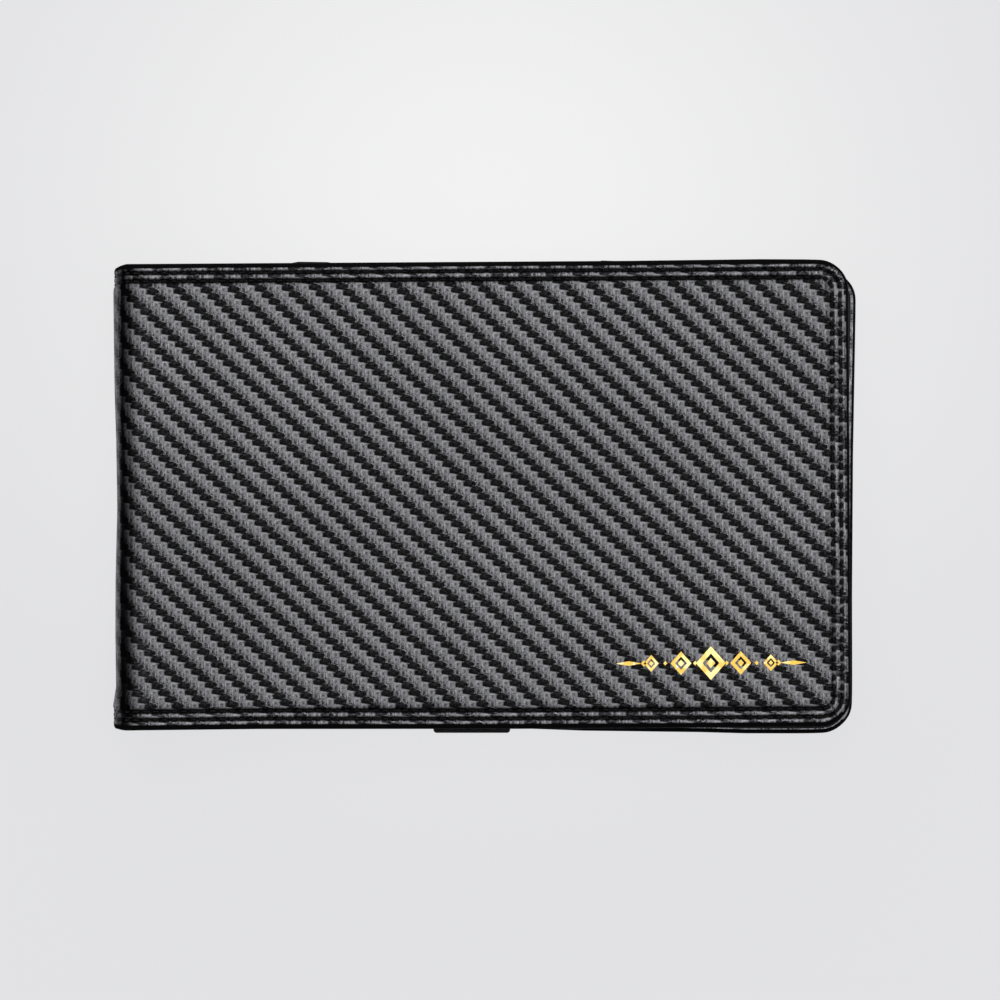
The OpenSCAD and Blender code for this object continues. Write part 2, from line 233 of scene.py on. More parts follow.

# %% [markdown]
# ## Floor
#
# A catalogue floor is pale and plain. One big plane does it. It glows by itself where it is seen,
# be it straight, mirrored in steel or through the film, so it stays pale without strong lamps. It
# is also a little matt, so it keeps the wallet's contact shadow. A painted pool of light lies round
# the wallet.

# %% Lay the floor
# the second grey is a painted pool of light, paler round a place near the wallet
FLOOR_GREY, LIGHT_POOL_GREY = (0.78, 0.78, 0.797, 1), (0.91, 0.91, 0.91, 1)
LIGHT_POOL_PLACE, LIGHT_POOL_REACH, GLOW_SHARE = (0.0, 0.035, 0), 0.1, 0.9
FLOOR_SIZE, FLOOR_DROP = 6, 0.0003
material, tree = new_material("pale floor")
place = node(tree, "ShaderNodeTexCoord").outputs["Object"]
offset = node(tree, "ShaderNodeVectorMath", {"operation": "DISTANCE"}, in_0=place, in_1=LIGHT_POOL_PLACE)
light_pool = smooth(tree, offset.outputs["Value"], 0.0, LIGHT_POOL_REACH, 1, 0)
tone = blend_colours(tree, light_pool, FLOOR_GREY, LIGHT_POOL_GREY)
matt = node(tree, "ShaderNodeBsdfDiffuse", Color=tone)
pale = node(tree, "ShaderNodeEmission", Color=tone, Strength=1.0)
path = node(tree, "ShaderNodeLightPath").outputs
seen = maths(tree, "ADD", path["Is Camera Ray"], path["Is Glossy Ray"])
seen = maths(tree, "ADD", seen, path["Is Transmission Ray"], clamp=True)
share = maths(tree, "MULTIPLY", seen, GLOW_SHARE)
surface = node(tree, "ShaderNodeMixShader", in_0=share, in_1=matt.outputs[0], in_2=pale.outputs[0])
node(tree, "ShaderNodeOutputMaterial", Surface=surface.outputs[0])
bpy.ops.mesh.primitive_plane_add(size=FLOOR_SIZE, location=(0, 0, -FLOOR_DROP))
floor = bpy.context.object
floor.name = "floor"
floor.data.materials.append(material)
print(f"floor of {FLOOR_SIZE} m laid")

# %% [markdown]
# ## Light
#
# The soft box overhead is narrow, so only leather that lies flat mirrors it: where the weave dips
# into a stitch line or bends over the fold, it turns dark, and painted shade in the leather's tone
# darkens it more. Two weak side boxes shape the edges.

# %% Hang the lights
AIM, WORLD_LEVEL = (0, 0, 0.012), 0.35


def soft_box(name, place, size, power):
    """An area light at a place in metres, aimed at the wallet."""
    light = bpy.data.lights.new(name, "AREA")
    light.shape = "RECTANGLE"
    light.size, light.size_y = size
    light.energy = power
    lamp = bpy.data.objects.new(name, light)
    lamp.location = place
    lamp.rotation_euler = Vector(np.array(place) - np.array(AIM)).to_track_quat("Z", "Y").to_euler()
    bpy.context.scene.collection.objects.link(lamp)


soft_box("overhead", (-0.03, 0.12, 0.8), (0.52, 0.56), 2.4)
soft_box("far_side", (-0.1, 0.9, 0.35), (0.9, 0.5), 2.5)
soft_box("right_side", (0.9, -0.1, 0.35), (0.5, 0.7), 2.5)
world = bpy.data.worlds.new("studio")
bpy.context.scene.world = world
world.use_nodes = True
backdrop = world.node_tree.nodes["Background"].inputs
backdrop["Color"].default_value = grey(1)
backdrop["Strength"].default_value = WORLD_LEVEL
print("lights:", len(bpy.data.lights))

# %% [markdown]
# ## The weave
#
# The leather is embossed and printed as carbon cloth: a two-by-two twill of light fibre bundles
# ("tows") that run up the wallet and dark ones that run across. Each dark float passes over two
# tows, and each row starts one tow further on, which makes the diagonal. An image could hold
# this, but a small calculation keeps it sharp at any distance. Two materials use it, so it is
# built once, as a group: it gives how light the tow is, its tone and its height.

# %% Start the weave group
NUMBER, ARROW = "NodeSocketFloat", "NodeSocketVector"


def new_group(name, inputs, outputs):
    """A node group with its named inputs (each with a value) and its number outputs."""
    group = bpy.data.node_groups.new(name, "ShaderNodeTree")
    for title, kind, value in inputs:
        group.interface.new_socket(title, in_out="INPUT", socket_type=kind).default_value = value
    for title in outputs:
        group.interface.new_socket(title, in_out="OUTPUT", socket_type=NUMBER)
    return group, group.nodes.new("NodeGroupInput").outputs, group.nodes.new("NodeGroupOutput").inputs


def use_group(tree, group, **links):
    return node(tree, "ShaderNodeGroup", {"node_tree": group}, **links).outputs


TOWS, SHIFT = 4.0, 1.0  # tows in one repeat, and how many further on each row starts
weave, given, out = new_group(
    "twill weave",
    [("Vector", ARROW, (0, 0, 0)), ("Tow Width", NUMBER, 1.0), ("Row Pitch", NUMBER, 1.0),
     ("Turn", NUMBER, 0.0), ("Tow Start", NUMBER, 0.0), ("Row Start", NUMBER, 0.0), ("Fade", NUMBER, 0.0)],
    ["Light", "Tone", "Height"])
calc, ease = partial(maths, weave), partial(smooth, weave)
flat = node(weave, "ShaderNodeSeparateXYZ", Vector=given["Vector"]).outputs
cos_turn, sin_turn = calc("COSINE", given["Turn"]), calc("SINE", given["Turn"])
across = calc("MULTIPLY_ADD", flat["X"], cos_turn, calc("MULTIPLY", flat["Y"], sin_turn))
along = calc("SUBTRACT", calc("MULTIPLY", flat["Y"], cos_turn), calc("MULTIPLY", flat["X"], sin_turn))
row = calc("SUBTRACT", calc("DIVIDE", along, given["Row Pitch"]), given["Row Start"])
row_floor = calc("FLOOR", row)
rise = calc("SUBTRACT", row, row_floor)
tow = calc("SUBTRACT", calc("DIVIDE", across, given["Tow Width"]), given["Tow Start"])
step = calc("WRAP", calc("ADD", tow, row_floor), TOWS, 0.0)
print(f"weave lattice: {TOWS:.0f} tows by one row")

# %% [markdown]
# A dark float is shaped like a loaf: a straight side below that slopes down to the right, a
# domed top that reaches into the row above, and a cut upper left corner. Each side is a smooth
# step, and their product is one inside the loaf.

# %% Shape a dark float
FOOT, DOME, CUT = 0.19, 0.19, 0.62  # slopes and curve of the lower side, the top and the corner
DOME_MIDDLE, CUT_TOP = 0.6, 0.9
LOWER_EDGE, UPPER_EDGE, CUT_EDGE = (0.34, 0.45), (1.3, 1.42, 1, 0), (-0.03, 0.12)
LEFT_EDGE, RIGHT_EDGE = (0.02, 0.2), (1.84, 2.04, 1, 0)


def loaf(x, y):
    """One inside a dark float, with x along it in tows and y up it in rows."""
    from_middle = calc("SUBTRACT", x, DOME_MIDDLE)
    lower = ease(calc("MULTIPLY_ADD", x, FOOT, y), *LOWER_EDGE)
    upper = ease(calc("MULTIPLY_ADD", calc("MULTIPLY", from_middle, from_middle), DOME, y), *UPPER_EDGE)
    corner = ease(calc("MULTIPLY_ADD", x, CUT, calc("SUBTRACT", CUT_TOP, y)), *CUT_EDGE)
    return product(weave, lower, upper, corner, ease(x, *LEFT_EDGE), ease(x, *RIGHT_EDGE))


print(f"dark float: {RIGHT_EDGE[1]:.2f} tows by {UPPER_EDGE[1] - LOWER_EDGE[0]:.2f} rows")

# %% [markdown]
# The dome reaches into the next row. So each point asks for the float of its own row and for the
# one of the row below, which lies one tow further on, and takes the stronger of the two.

# %% Lay the dark floats
step_below = calc("WRAP", calc("SUBTRACT", step, SHIFT), TOWS, 0.0)
own, below = loaf(step, rise), loaf(step_below, calc("ADD", rise, 1.0))
in_below = calc("GREATER_THAN", below, own)
dark = calc("MULTIPLY", calc("MAXIMUM", own, below), calc("SUBTRACT", 1.0, given["Fade"]))
dark_x = calc("MULTIPLY_ADD", in_below, calc("SUBTRACT", step_below, step), step)
dark_y = calc("ADD", rise, in_below)
print("dark floats laid")

# %% [markdown]
# Inside a dark float the tone isn't even. A spot near its middle has a little painted sheen, its
# lower right end is paler, its top rim has a painted highlight, and a fine grit breaks it up.
# Spots are round hills, and the grit is noise, so no image is needed.

# %% Tone the dark floats
def hill(x, y, middle, size):
    """A round hill of height one over a point."""
    dx, dy = (calc("DIVIDE", calc("SUBTRACT", v, m), s) for v, m, s in zip((x, y), middle, size))
    square = calc("MULTIPLY_ADD", dx, dx, calc("MULTIPLY", dy, dy))
    return calc("EXPONENT", calc("MULTIPLY", square, -1.0))


def streaks(scale_x, scale_y, detail):
    """Noise in the flat pattern, about zero, stretched along a bundle's fibres."""
    stretched = node(weave, "ShaderNodeCombineXYZ", X=calc("MULTIPLY", across, scale_x),
                     Y=calc("MULTIPLY", along, scale_y)).outputs[0]
    return calc("SUBTRACT", noise(weave, stretched, 1.0, detail), 0.5)


# the sheen is painted, and the rim numbers give a painted highlight on the top rim
DARK_BASE, PAINTED_SHEEN, PALE_END = 0.5, 2.6, 9.0
RIM_HIGHLIGHT, RIM_HIGHLIGHT_SLOPE = 1.5, 8.0
GRIT_DEPTH, GRIT_LEVEL, GRIT_MOST = 7.0, 0.85, 1.6
painted_sheen_spot = calc("MULTIPLY", hill(dark_x, dark_y, (1.0, 0.8), (0.28, 0.2)), PAINTED_SHEEN)
pale_end = calc("MULTIPLY", hill(dark_x, dark_y, (1.72, 0.4), (0.25, 0.1)), PALE_END)
rim_highlight = calc("MULTIPLY_ADD", ease(dark_x, 0.8, 1.9), RIM_HIGHLIGHT_SLOPE, RIM_HIGHLIGHT)
dark_tone = calc("MULTIPLY_ADD", ease(dark_y, 0.85, 1.05), rim_highlight, DARK_BASE)
dark_tone = calc("ADD", dark_tone, calc("ADD", painted_sheen_spot, pale_end))
dark_grit = calc("MAXIMUM", calc("MULTIPLY_ADD", streaks(3.0, 4.5, 2.0), GRIT_DEPTH, GRIT_LEVEL), 0.0)
dark_tone = calc("MULTIPLY_ADD", dark_tone, calc("MINIMUM", dark_grit, GRIT_MOST), dark_grit)
print("dark floats toned")

# %% [markdown]
# A light float covers two rows of one tow. Painted shade dulls its lower end where it dives under,
# painted highlights lie on its upper end and its left rim, and fine fibres run along it. The hills
# below are painted highlights and shadows that raise or lower its tone at places that are counted
# in tows and rows.

# %% Tone the light floats
# painted highlights and shadows on a light float
PAINTED_LIGHT_AND_SHADE_HILLS = (  # middle, size, amount
    ((2.46, 0.68), (0.23, 0.33), -0.9),
    ((3.16, 0.85), (0.11, 0.5), 0.86),
    ((3.5, 0.05), (0.25, 0.18), -0.25),
    ((2.99, 0.33), (0.09, 0.2), -0.65),
    ((2.03, 0.7), (0.1, 0.35), -0.45),
    ((2.25, 0.25), (0.4, 0.2), -0.66),
    ((2.78, 0.08), (0.34, 0.2), -0.62),
    ((3.8, 0.4), (0.25, 0.25), 0.12),
    ((3.55, 0.72), (0.16, 0.19), -0.6),
    ((2.17, 0.7), (0.09, 0.35), 0.5),
    ((2.83, 0.55), (0.09, 0.4), 0.42),
    ((3.92, 0.6), (0.09, 0.4), 0.36),
)
# the top end below is a painted highlight; the dive on the next line is painted shade
LIGHT_BASE, LIGHT_LEAST, TOP_HIGHLIGHT = 1.03, 0.1, 0.55
DIVE_SHADE, FIBRE_DEPTH, LIGHT_GRIT_DEPTH = -0.5, 1.6, 2.1
light_tone = LIGHT_BASE
for middle, size, amount in PAINTED_LIGHT_AND_SHADE_HILLS:
    light_tone = calc("MULTIPLY_ADD", hill(step, rise, middle, size), amount, light_tone)
top_highlight = product(weave, ease(step, 0.0, 0.15), ease(step, 0.9, 1.2, 1, 0), ease(rise, 0.05, 0.45, 1, 0))
light_tone = calc("MULTIPLY_ADD", top_highlight, TOP_HIGHLIGHT, light_tone)
dive_shade = calc("MULTIPLY", ease(step, 0.9, 1.3), calc("LESS_THAN", step, 2.0))
light_tone = calc("MULTIPLY", light_tone, calc("MULTIPLY_ADD", dive_shade, DIVE_SHADE, 1.0))
fibre, grit = streaks(6.0, 2.2, 2.0), streaks(4.6, 4.6, 1.0)
light_tone = calc("MULTIPLY_ADD", fibre, FIBRE_DEPTH, light_tone)
light_tone = calc("MULTIPLY_ADD", grit, LIGHT_GRIT_DEPTH, light_tone)
light_tone = calc("MAXIMUM", light_tone, LIGHT_LEAST)
print("light floats toned with", len(PAINTED_LIGHT_AND_SHADE_HILLS), "hills")

# %% [markdown]
# The height follows the same floats: a light tow is rounded from side to side, and a dark float
# is a low mound. A mix by the dark mask joins the two kinds, for the tone and for the height.

# %% Join light and dark
def by_tow(light_value, dark_value):
    """The light tow's value outside the dark floats, and the dark one's inside."""
    return node(weave, "ShaderNodeMix", {"data_type": "FLOAT"}, in_0=dark, in_2=light_value,
                in_3=dark_value).outputs[0]


TOW_TOP, TOW_FALL, TOW_SQUARE = 0.8, -0.45, 3.0
MOUND, GRIT_HEIGHT = 0.55, 0.5
tow_side = calc("ABSOLUTE", calc("MULTIPLY_ADD", calc("FRACT", step), 2.0, -1.0))
tow_crown = calc("MULTIPLY_ADD", calc("POWER", tow_side, TOW_SQUARE), TOW_FALL, TOW_TOP)
mound = calc("MULTIPLY", hill(dark_x, dark_y, (1.0, 0.75), (0.9, 0.4)), MOUND)
weave.links.new(calc("SUBTRACT", 1.0, dark), out["Light"])
weave.links.new(by_tow(light_tone, dark_tone), out["Tone"])
weave.links.new(calc("MULTIPLY_ADD", grit, GRIT_HEIGHT, by_tow(tow_crown, mound)), out["Height"])
print("weave group of", len(weave.nodes), "nodes")

# %% [markdown]
# ## Carbon leather
#
# The weave is scaled and turned to lie on the leather as it was cut. The surface is neither
# plastic nor metal, so the light tows are partly metallic under a rough, faint gloss. The mesh
# marks painted shade in the stitch grooves and the crease, and painted highlights on the ridges.
# In the crease's painted shadow the dark floats sink first.

# %% Make a woven leather
TOW_WIDTH, ROW_PITCH, WEAVE_TURN = 1.002, 0.990, math.radians(1.62)
LIGHT_TOW, DARK_TOW = (0.144, 0.144, 0.153, 1), (0.0045, 0.0045, 0.0049, 1)
TOW_METAL, LEATHER_ROUGH, LEATHER_IOR = 0.65, 0.44, 1.1
DARK_SINKS, LIGHT_SINKS = 2.1, 0.5  # powers of the crease's shade


def cover_shade(tree, place, light):
    """A faint cloudiness, the painted shade and highlights that the mesh marks on stitch lines, ridges and
    edges, and the crease's painted shadow.
    """
    cloudy = smooth(tree, noise(tree, place, 0.035, 2.0), 0.2, 0.8, 0.92, 1.08)
    sinks = maths(tree, "MULTIPLY_ADD", light, LIGHT_SINKS - DARK_SINKS, DARK_SINKS)
    return product(tree, cloudy, mark(tree, "shade"), maths(tree, "POWER", mark(tree, "crease"), sinks))


def patch_shade(tree, _place, _light):
    """A patch is only paler at its rim, and dark with painted shade in its stitch lines."""
    return maths(tree, "MULTIPLY_ADD", mark(tree, "wear"), 1.5, 1.0)


def woven_leather(name, find_place, tow_start, row_start, find_shade, relief_height):
    material, tree = new_material(name)
    place = find_place(tree)
    # the mark called stretch fades the dark floats: a painted reflection on the fold, painted light on
    # ridges and the rear cover's lip, and a plain fade past the crease
    cloth = use_group(tree, weave, Vector=place, Tow_Width=TOW_WIDTH, Row_Pitch=ROW_PITCH, Turn=WEAVE_TURN,
                      Tow_Start=tow_start, Row_Start=row_start, Fade=mark(tree, "stretch"))
    tow_colour = blend_colours(tree, cloth["Light"], DARK_TOW, LIGHT_TOW)
    tone = maths(tree, "MULTIPLY", cloth["Tone"], find_shade(tree, place, cloth["Light"]))
    principled(tree, Base_Color=scaled_colour(tree, tow_colour, tone),
               Metallic=maths(tree, "MULTIPLY", cloth["Light"], TOW_METAL), Roughness=LEATHER_ROUGH,
               IOR=LEATHER_IOR, Normal=relief(tree, cloth["Height"], 1.0, relief_height))
    return material


carbon_leather = woven_leather("carbon leather", flat_pattern, 3.016, -0.467, cover_shade, 0.00006)
patch_leather = woven_leather("patch leather", in_millimetres, 0.7, 0.3, patch_shade, 0.00007)
print("woven leathers:", carbon_leather.name, "and", patch_leather.name)

# %% [markdown]
# Cut edges of leather are sealed with black edge paint, which dries slightly rough.

# %% Make the painted edge
painted_edge, tree = new_material("painted edge")
grain = noise(tree, in_millimetres(tree), 2.5, 3.0)
principled(tree, Base_Color=blend_colours(tree, grain, grey(0.001), grey(0.004)), IOR=LEATHER_IOR,
           Roughness=smooth(tree, grain, 0.3, 0.7, 0.5, 0.7), Specular_IOR_Level=0.3,
           Normal=relief(tree, grain, 0.6, 0.00004))
print(painted_edge.name, "made")

# %% [markdown]
# ## The outer leather
#
# The outer skin is one piece of leather: rear cover, spine and front cover. Each half is drawn
# flat, as it is cut, and then laid round the crease, so the weave runs on without a break and
# keeps its size. Edges that are turned by hand aren't straight, so each side has a few points
# that say how far it stands off the solid there.

# %% Say how the edges bow
EXTENT = {1: (front_x, front_y), -1: (rear_x, rear_y)}  # right and bottom edge; 1 front, -1 rear
OUTLINE = {  # shares of the side's length, then millimetres off the solid there
    (1, "top"): ((0, 1), (-0.41, 0.27)),
    (1, "bottom"): ((0, 0.2, 0.55, 1), (-0.1, 0.14, 0.16, 0.46)),
    (1, "right"): ((0, 1), (0.4, -0.06)),
    (-1, "top"): ((0, 0.2, 0.235, 0.25, 0.29, 0.3, 0.655, 0.665, 0.7, 0.8, 1),
                  (-0.2, -0.1, 0, 0.27, 0.22, -0.02, 0.18, 0.46, 0.33, 0.3, -1.2)),
    (-1, "bottom"): ((0, 0.56, 0.64, 0.8, 0.86, 1), (0.45, 0.36, 0.04, -0.18, -0.36, -0.38)),
    (-1, "right"): ((0, 0.3, 0.6, 0.9, 1), (0.28, 0.23, 0.37, 0.74, 0.8)),
}
# the front cover's outermost HEM_WIDTH mm swells further, by shares of the length and millimetres
HEM = {"top": ((0, 0.7, 0.88, 0.94, 1), (0.13, 0.14, 0.27, 0.2, 0)), "bottom": ((0, 1), (0.27, 0.25))}
FOLD_HOLLOW = ((-31, -28, -25, -20, -12, -1, 9, 16, 24, 30),  # up the fold, then how far it draws in
               (-0.06, 0.4, 0.36, 0.3, 0.33, 0.58, 0.42, 0.2, 0.08, 0.02))
HEM_WIDTH, HOLLOW_WIDTH, BOW_POWER = 1.1, 5, 8  # the right side's bow fades inwards by a power
FOLD_PINCH, PINCH_WIDTH = 0.5, 0.8  # the leather gathers at both ends of the fold
CREASE_SAG, SAG_PLACE, SAG_WIDTH = 0.3, 1.35, 0.6  # and dips just inside it
CORNER_CUT, CUT_REACH = 0.24, 4  # the rear cover's lower right corner is cut shorter
print("sides with a bow:", len(OUTLINE))

# %% [markdown]
# One rule lays any flat place on the real thing: along the spine it stays upright, in the crease
# it turns round the radius, and over the cover it lies flat. All that is sewn on follows it too.

# %% Lay flat leather round the crease
def near(distance, width):
    """One at a place, fading to nothing within about two widths of it."""
    return np.exp(-((distance / width) ** 2))


def cover_point(side, u, v, h):
    """A point of the leather: u from the middle of the spine, v up the cover, h out of its face."""
    u, v, h = np.broadcast_arrays(*(np.asarray(a, float) for a in (u, v, h)))
    right, bottom = EXTENT[side]
    angle = np.clip((u - spine_half) / crease_r, 0, math.pi / 2)
    x = plate_x - crease_r * np.cos(angle) + np.maximum(u - plate_u, 0)
    z = spine_z + np.minimum(u, spine_half) + crease_r * np.sin(angle)
    from_fold = x - fold_x
    along_x = np.clip(from_fold / (front_x - fold_x), 0, 1)
    up_y = np.clip((v - bottom) / (top_y - bottom), 0, 1)
    at_top, at_bottom = (np.interp(along_x, *OUTLINE[side, edge]) for edge in ("top", "bottom"))
    y = v + at_bottom * (1 - up_y) + at_top * up_y
    if side > 0:
        y = y + np.interp(along_x, *HEM["top"]) * np.clip((HEM_WIDTH + v - top_y) / HEM_WIDTH, 0, 1)
        y = y - np.interp(along_x, *HEM["bottom"]) * np.clip((HEM_WIDTH + bottom - v) / HEM_WIDTH, 0, 1)
    half_at_bottom = np.where(up_y < 0.5, 0.5, 1)
    y = y - near(from_fold, PINCH_WIDTH) * FOLD_PINCH * (2 * up_y - 1) * half_at_bottom
    h = h - CREASE_SAG * near(from_fold - SAG_PLACE, SAG_WIDTH)
    x = x - h * np.cos(angle) + np.interp(v, *FOLD_HOLLOW) * near(from_fold, HOLLOW_WIDTH)
    x = x + np.interp(up_y, *OUTLINE[side, "right"]) * along_x ** BOW_POWER
    if side < 0:
        cut = CORNER_CUT * near(np.hypot(x - right, v - bottom), CUT_REACH)
        x, y = x - cut, y + cut
    z = z + h * np.sin(angle)
    return np.stack([x, y, z if side > 0 else 2 * spine_z - z], -1)


def pattern_place(side, u, y):
    """Flat-pattern coordinates: over the covers they equal x and y, and they run on past the spine."""
    return np.stack([np.asarray(side * u - plate_u + plate_x), np.asarray(y)], -1)


print("flat pattern starts at", np.round(cover_point(1, plate_u, 0, 0), 2))

# %% [markdown]
# ## Rings of a cover
#
# Rings that follow the edge carry the section of a cover: the flat panel, two stitch lines, a
# painted highlight beside each, and the edge that turns under over the board. Where rings lie close
# together the leather bends sharply. A bevel of a box couldn't press lines beside its edge.

# %% Draw one ring on the flat leather
SPACING, CORNER_STEPS, PITCH = 0.355, 12, 1.42  # PITCH is one stitch
CORNER_WAVES = 12  # pulls in a full circle of corners
ROWS = (1.27, 2.5)  # distance of both stitch rows from the edge
LONG_EDGE_PULL, CORNER_PULL, SHORT_EDGE_PULL = 0.75, 0.4, 0.12  # least pull between two stitches


def flat_reach(side):
    """How far the flat leather reaches from the middle of the spine."""
    return plate_u + EXTENT[side][0] - plate_x


def stations(side):
    """Where the points stand along the bottom and top edges, and along the right one."""
    last, bottom = flat_reach(side) - corner_r, EXTENT[side][1]
    height = top_y - bottom - 2 * corner_r
    us = np.linspace(0, last, int(last / SPACING) + 1)
    vs = np.linspace(bottom + corner_r, top_y - corner_r, int(height / SPACING) + 1)
    return us, vs


def pull_wave(angle, least):
    """How strongly the thread pulls: one in the middle of a stitch, and least between two."""
    return least + (1 - least) * (0.5 + 0.5 * np.cos(angle))


def ring(side, d):
    """The path at a distance d inside the edge, from bottom left round to top left, and its pull."""
    reach, bottom = flat_reach(side), EXTENT[side][1]
    us, vs = stations(side)
    turn = np.linspace(0, 90, CORNER_STEPS + 1)[1:-1]
    inner, arcs = corner_r - d, []
    for middle_v, degrees in ((bottom + corner_r, turn - 90), (top_y - corner_r, turn)):
        across, up = inner * np.cos(np.radians(degrees)), inner * np.sin(np.radians(degrees))
        arcs.append(np.stack([reach - corner_r + across, middle_v + up], -1))
    path = [np.stack([us, np.full_like(us, bottom + d)], -1), arcs[0],
            np.stack([np.full_like(vs, reach - d), vs], -1), arcs[1],
            np.stack([us[::-1], np.full_like(us, top_y - d)], -1)]
    along_u = pull_wave(2 * math.pi * us / PITCH, LONG_EDGE_PULL)
    along_v = pull_wave(2 * math.pi * vs / PITCH, SHORT_EDGE_PULL)
    in_corner = pull_wave(np.radians(turn * CORNER_WAVES), CORNER_PULL)
    return np.concatenate(path), np.concatenate([along_u, in_corner, along_v, in_corner, along_u[::-1]])


print("points in a ring:", len(ring(1, 0)[0]))

# %% [markdown]
# A stitch line is a groove where the thread pulls the leather down, darkened by painted shade.
# Beside it a painted highlight stands for a ridge that catches the light, and fades the weave's
# dark floats. The turned edge is rounder than a fold and squarer than a circle. On the rear cover
# its underside shows, made pale and plain by painted light where the front cover shades it, so it
# gets marks of its own.

# %% Give the rings their section
RINGS = [corner_r, 3.9, 3.5, 3.2, 3.02, 2.92, 2.82, 2.72, 2.6, 2.5, 2.4, 2.28, 2.18, 2.08, 1.98, 1.88, 1.72,
         1.62, 1.54, 1.45, 1.36, 1.27, 1.18, 1.09, 1.0, 0.92, 0.85, 0.8]  # the first borders the panel
ROLL = [math.radians(a) for a in (76, 60, 45, 22, 0, -22, -45, -60, -76, -90)]
UNDER = (2.4, 3.9)  # rings of the hem that lies under the board
PANEL_RISE, RISE_FROM, RISE_WIDTH = 0.1, 2.4, 1.1
# the last number is painted shade: the share of the tone lost at a groove's bottom
GROOVE_DEPTH, GROOVE_HALVES, GROOVE_SPREAD, GROOVE_PAINTED_SHADE = 0.3, (0.3, 0.34), 1.6, 0.96
RIDGES = ((0.88, 0.25, 1), (1.88, 0.3, 0.7))  # distance from the edge, width, strength
# painted highlight on the ridges: how much lighter they are, and how much their dark floats fade
RIDGE_PAINTED_HIGHLIGHT, RIDGE_HIGHLIGHT_FADE = 0.42, 0.14
EDGE_R, EDGE_T, EDGE_SQUARE, EDGE_SHADE = 0.8, 1.72, 0.6, 0.8
# painted light: where the front cover shades it, the rear cover's lip is made this many times paler, most
# at its end
LIP_FROM, LIP_PAINTED_LIGHT, LIP_END_PAINTED_LIGHT = -1, 2.4, 4  # the rear cover's lip starts at LIP_FROM radians
# places along the leather, then the share of its thickness that is left there
SKIVE = ((spine_half - 0.6, spine_half + 1.2, plate_u - 1, plate_u + 1.6), (1, 0.5, 0.5, 1))


def section(d, pull):
    """Height of the leather at a distance d inside the edge, its painted shade and highlight, and how plain
    it is.
    """
    height = PANEL_RISE * float(np.clip((d - RISE_FROM) / RISE_WIDTH, 0, 1))
    shade = np.ones_like(pull)
    for row_place, half in zip(ROWS, GROOVE_HALVES):
        groove = pull * math.exp(-(((d - row_place) / half) ** 4))
        height = height - GROOVE_DEPTH * groove
        shade = shade * (1 - GROOVE_PAINTED_SHADE * np.clip(GROOVE_SPREAD * groove, 0, 1))
    ridge = sum(strength * near(d - middle, width) for middle, width, strength in RIDGES)
    return height, shade * (1 + RIDGE_PAINTED_HIGHLIGHT * ridge), RIDGE_HIGHLIGHT_FADE * ridge


def rolled(side, angle):
    """Distance inside the edge, height, shade and plainness at an angle round the rolled edge."""
    shade, plain = EDGE_SHADE, 0
    # the rear cover's lip gets painted light and loses its dark floats
    if side < 0 and angle < LIP_FROM:
        shade, plain = EDGE_SHADE * (LIP_END_PAINTED_LIGHT if angle == ROLL[-1] else LIP_PAINTED_LIGHT), 1
    height = EDGE_T / 2 * (math.copysign(abs(math.sin(angle)) ** EDGE_SQUARE, angle) - 1)
    return EDGE_R - EDGE_R * math.cos(angle), height, shade, plain


print("rings:", len(RINGS) + len(ROLL) + len(UNDER))

# %% [markdown]
# Now every ring gets its section, from the panel outwards, round the edge and under it. A turned
# edge is pared thin where it has to bend round the crease, which makers call skiving.

# %% Shape all rings of a cover
def cover_rings(side):
    """Path, height, shade and plainness of each ring."""
    rings = []
    for d in RINGS[1:]:
        path, pull = ring(side, d)
        rings.append((path, *section(d, pull)))
    turned = [rolled(side, angle) for angle in ROLL] + [(d, -EDGE_T, EDGE_SHADE, 0) for d in UNDER]
    for d, height, shade, plain in turned:
        path = ring(side, d)[0]
        rings.append((path, height * np.interp(path[:, 0], *SKIVE), shade, plain))
    return rings


print("points in all rings:", sum(len(path) for path, *_ in cover_rings(1)))

# %% [markdown]
# A mesh carries more than its shape. Its pattern layer says where each point lay on the flat
# leather, for the weave, and its marks tell the material how dark, worn or plain it is there.

# %% Add a mesh with its pattern and marks
def add_mesh(name, points, faces, materials, face_material=None, pattern=None, **marks):
    """A mesh piece from points in millimetres, with its flat pattern and marks for each point."""
    mesh = bpy.data.meshes.new(name)
    mesh.from_pydata((np.asarray(points) * MM).tolist(), [], [list(f) for f in faces])
    for material in materials:
        mesh.materials.append(material)
    if face_material is not None:
        mesh.polygons.foreach_set("material_index", np.asarray(face_material, np.int32))
    mesh.polygons.foreach_set("use_smooth", np.ones(len(mesh.polygons), bool))
    if pattern is not None:
        layer = mesh.uv_layers.new(name="pattern")
        corner = np.zeros(len(mesh.loops), np.int32)
        mesh.loops.foreach_get("vertex_index", corner)
        layer.data.foreach_set("uv", np.asarray(pattern, np.float32)[corner].ravel())
    for title, values in marks.items():
        layer = mesh.attributes.new(title, "FLOAT", "POINT")
        layer.data.foreach_set("value", np.asarray(values, np.float32))
    mesh.update()
    piece = bpy.data.objects.new(name, mesh)
    bpy.context.scene.collection.objects.link(piece)
    return piece


def blend_like(piece):
    """Bakes a piece's transform into its points; its shape is already laid round the crease."""
    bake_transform(piece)


print("mesh helpers ready")

# %% [markdown]
# ## Painted shade of the crease
#
# On the fold the weave's dark floats fade to faint streaks, a painted reflection of its rounded
# edge. In the dip beside it painted shade turns the leather nearly black, and it comes back over a
# few millimetres. The painted dark band is wider near the bottom, and a little further on the dark
# floats fade a little, more so lower down. The mesh marks all of this by distance from the fold.

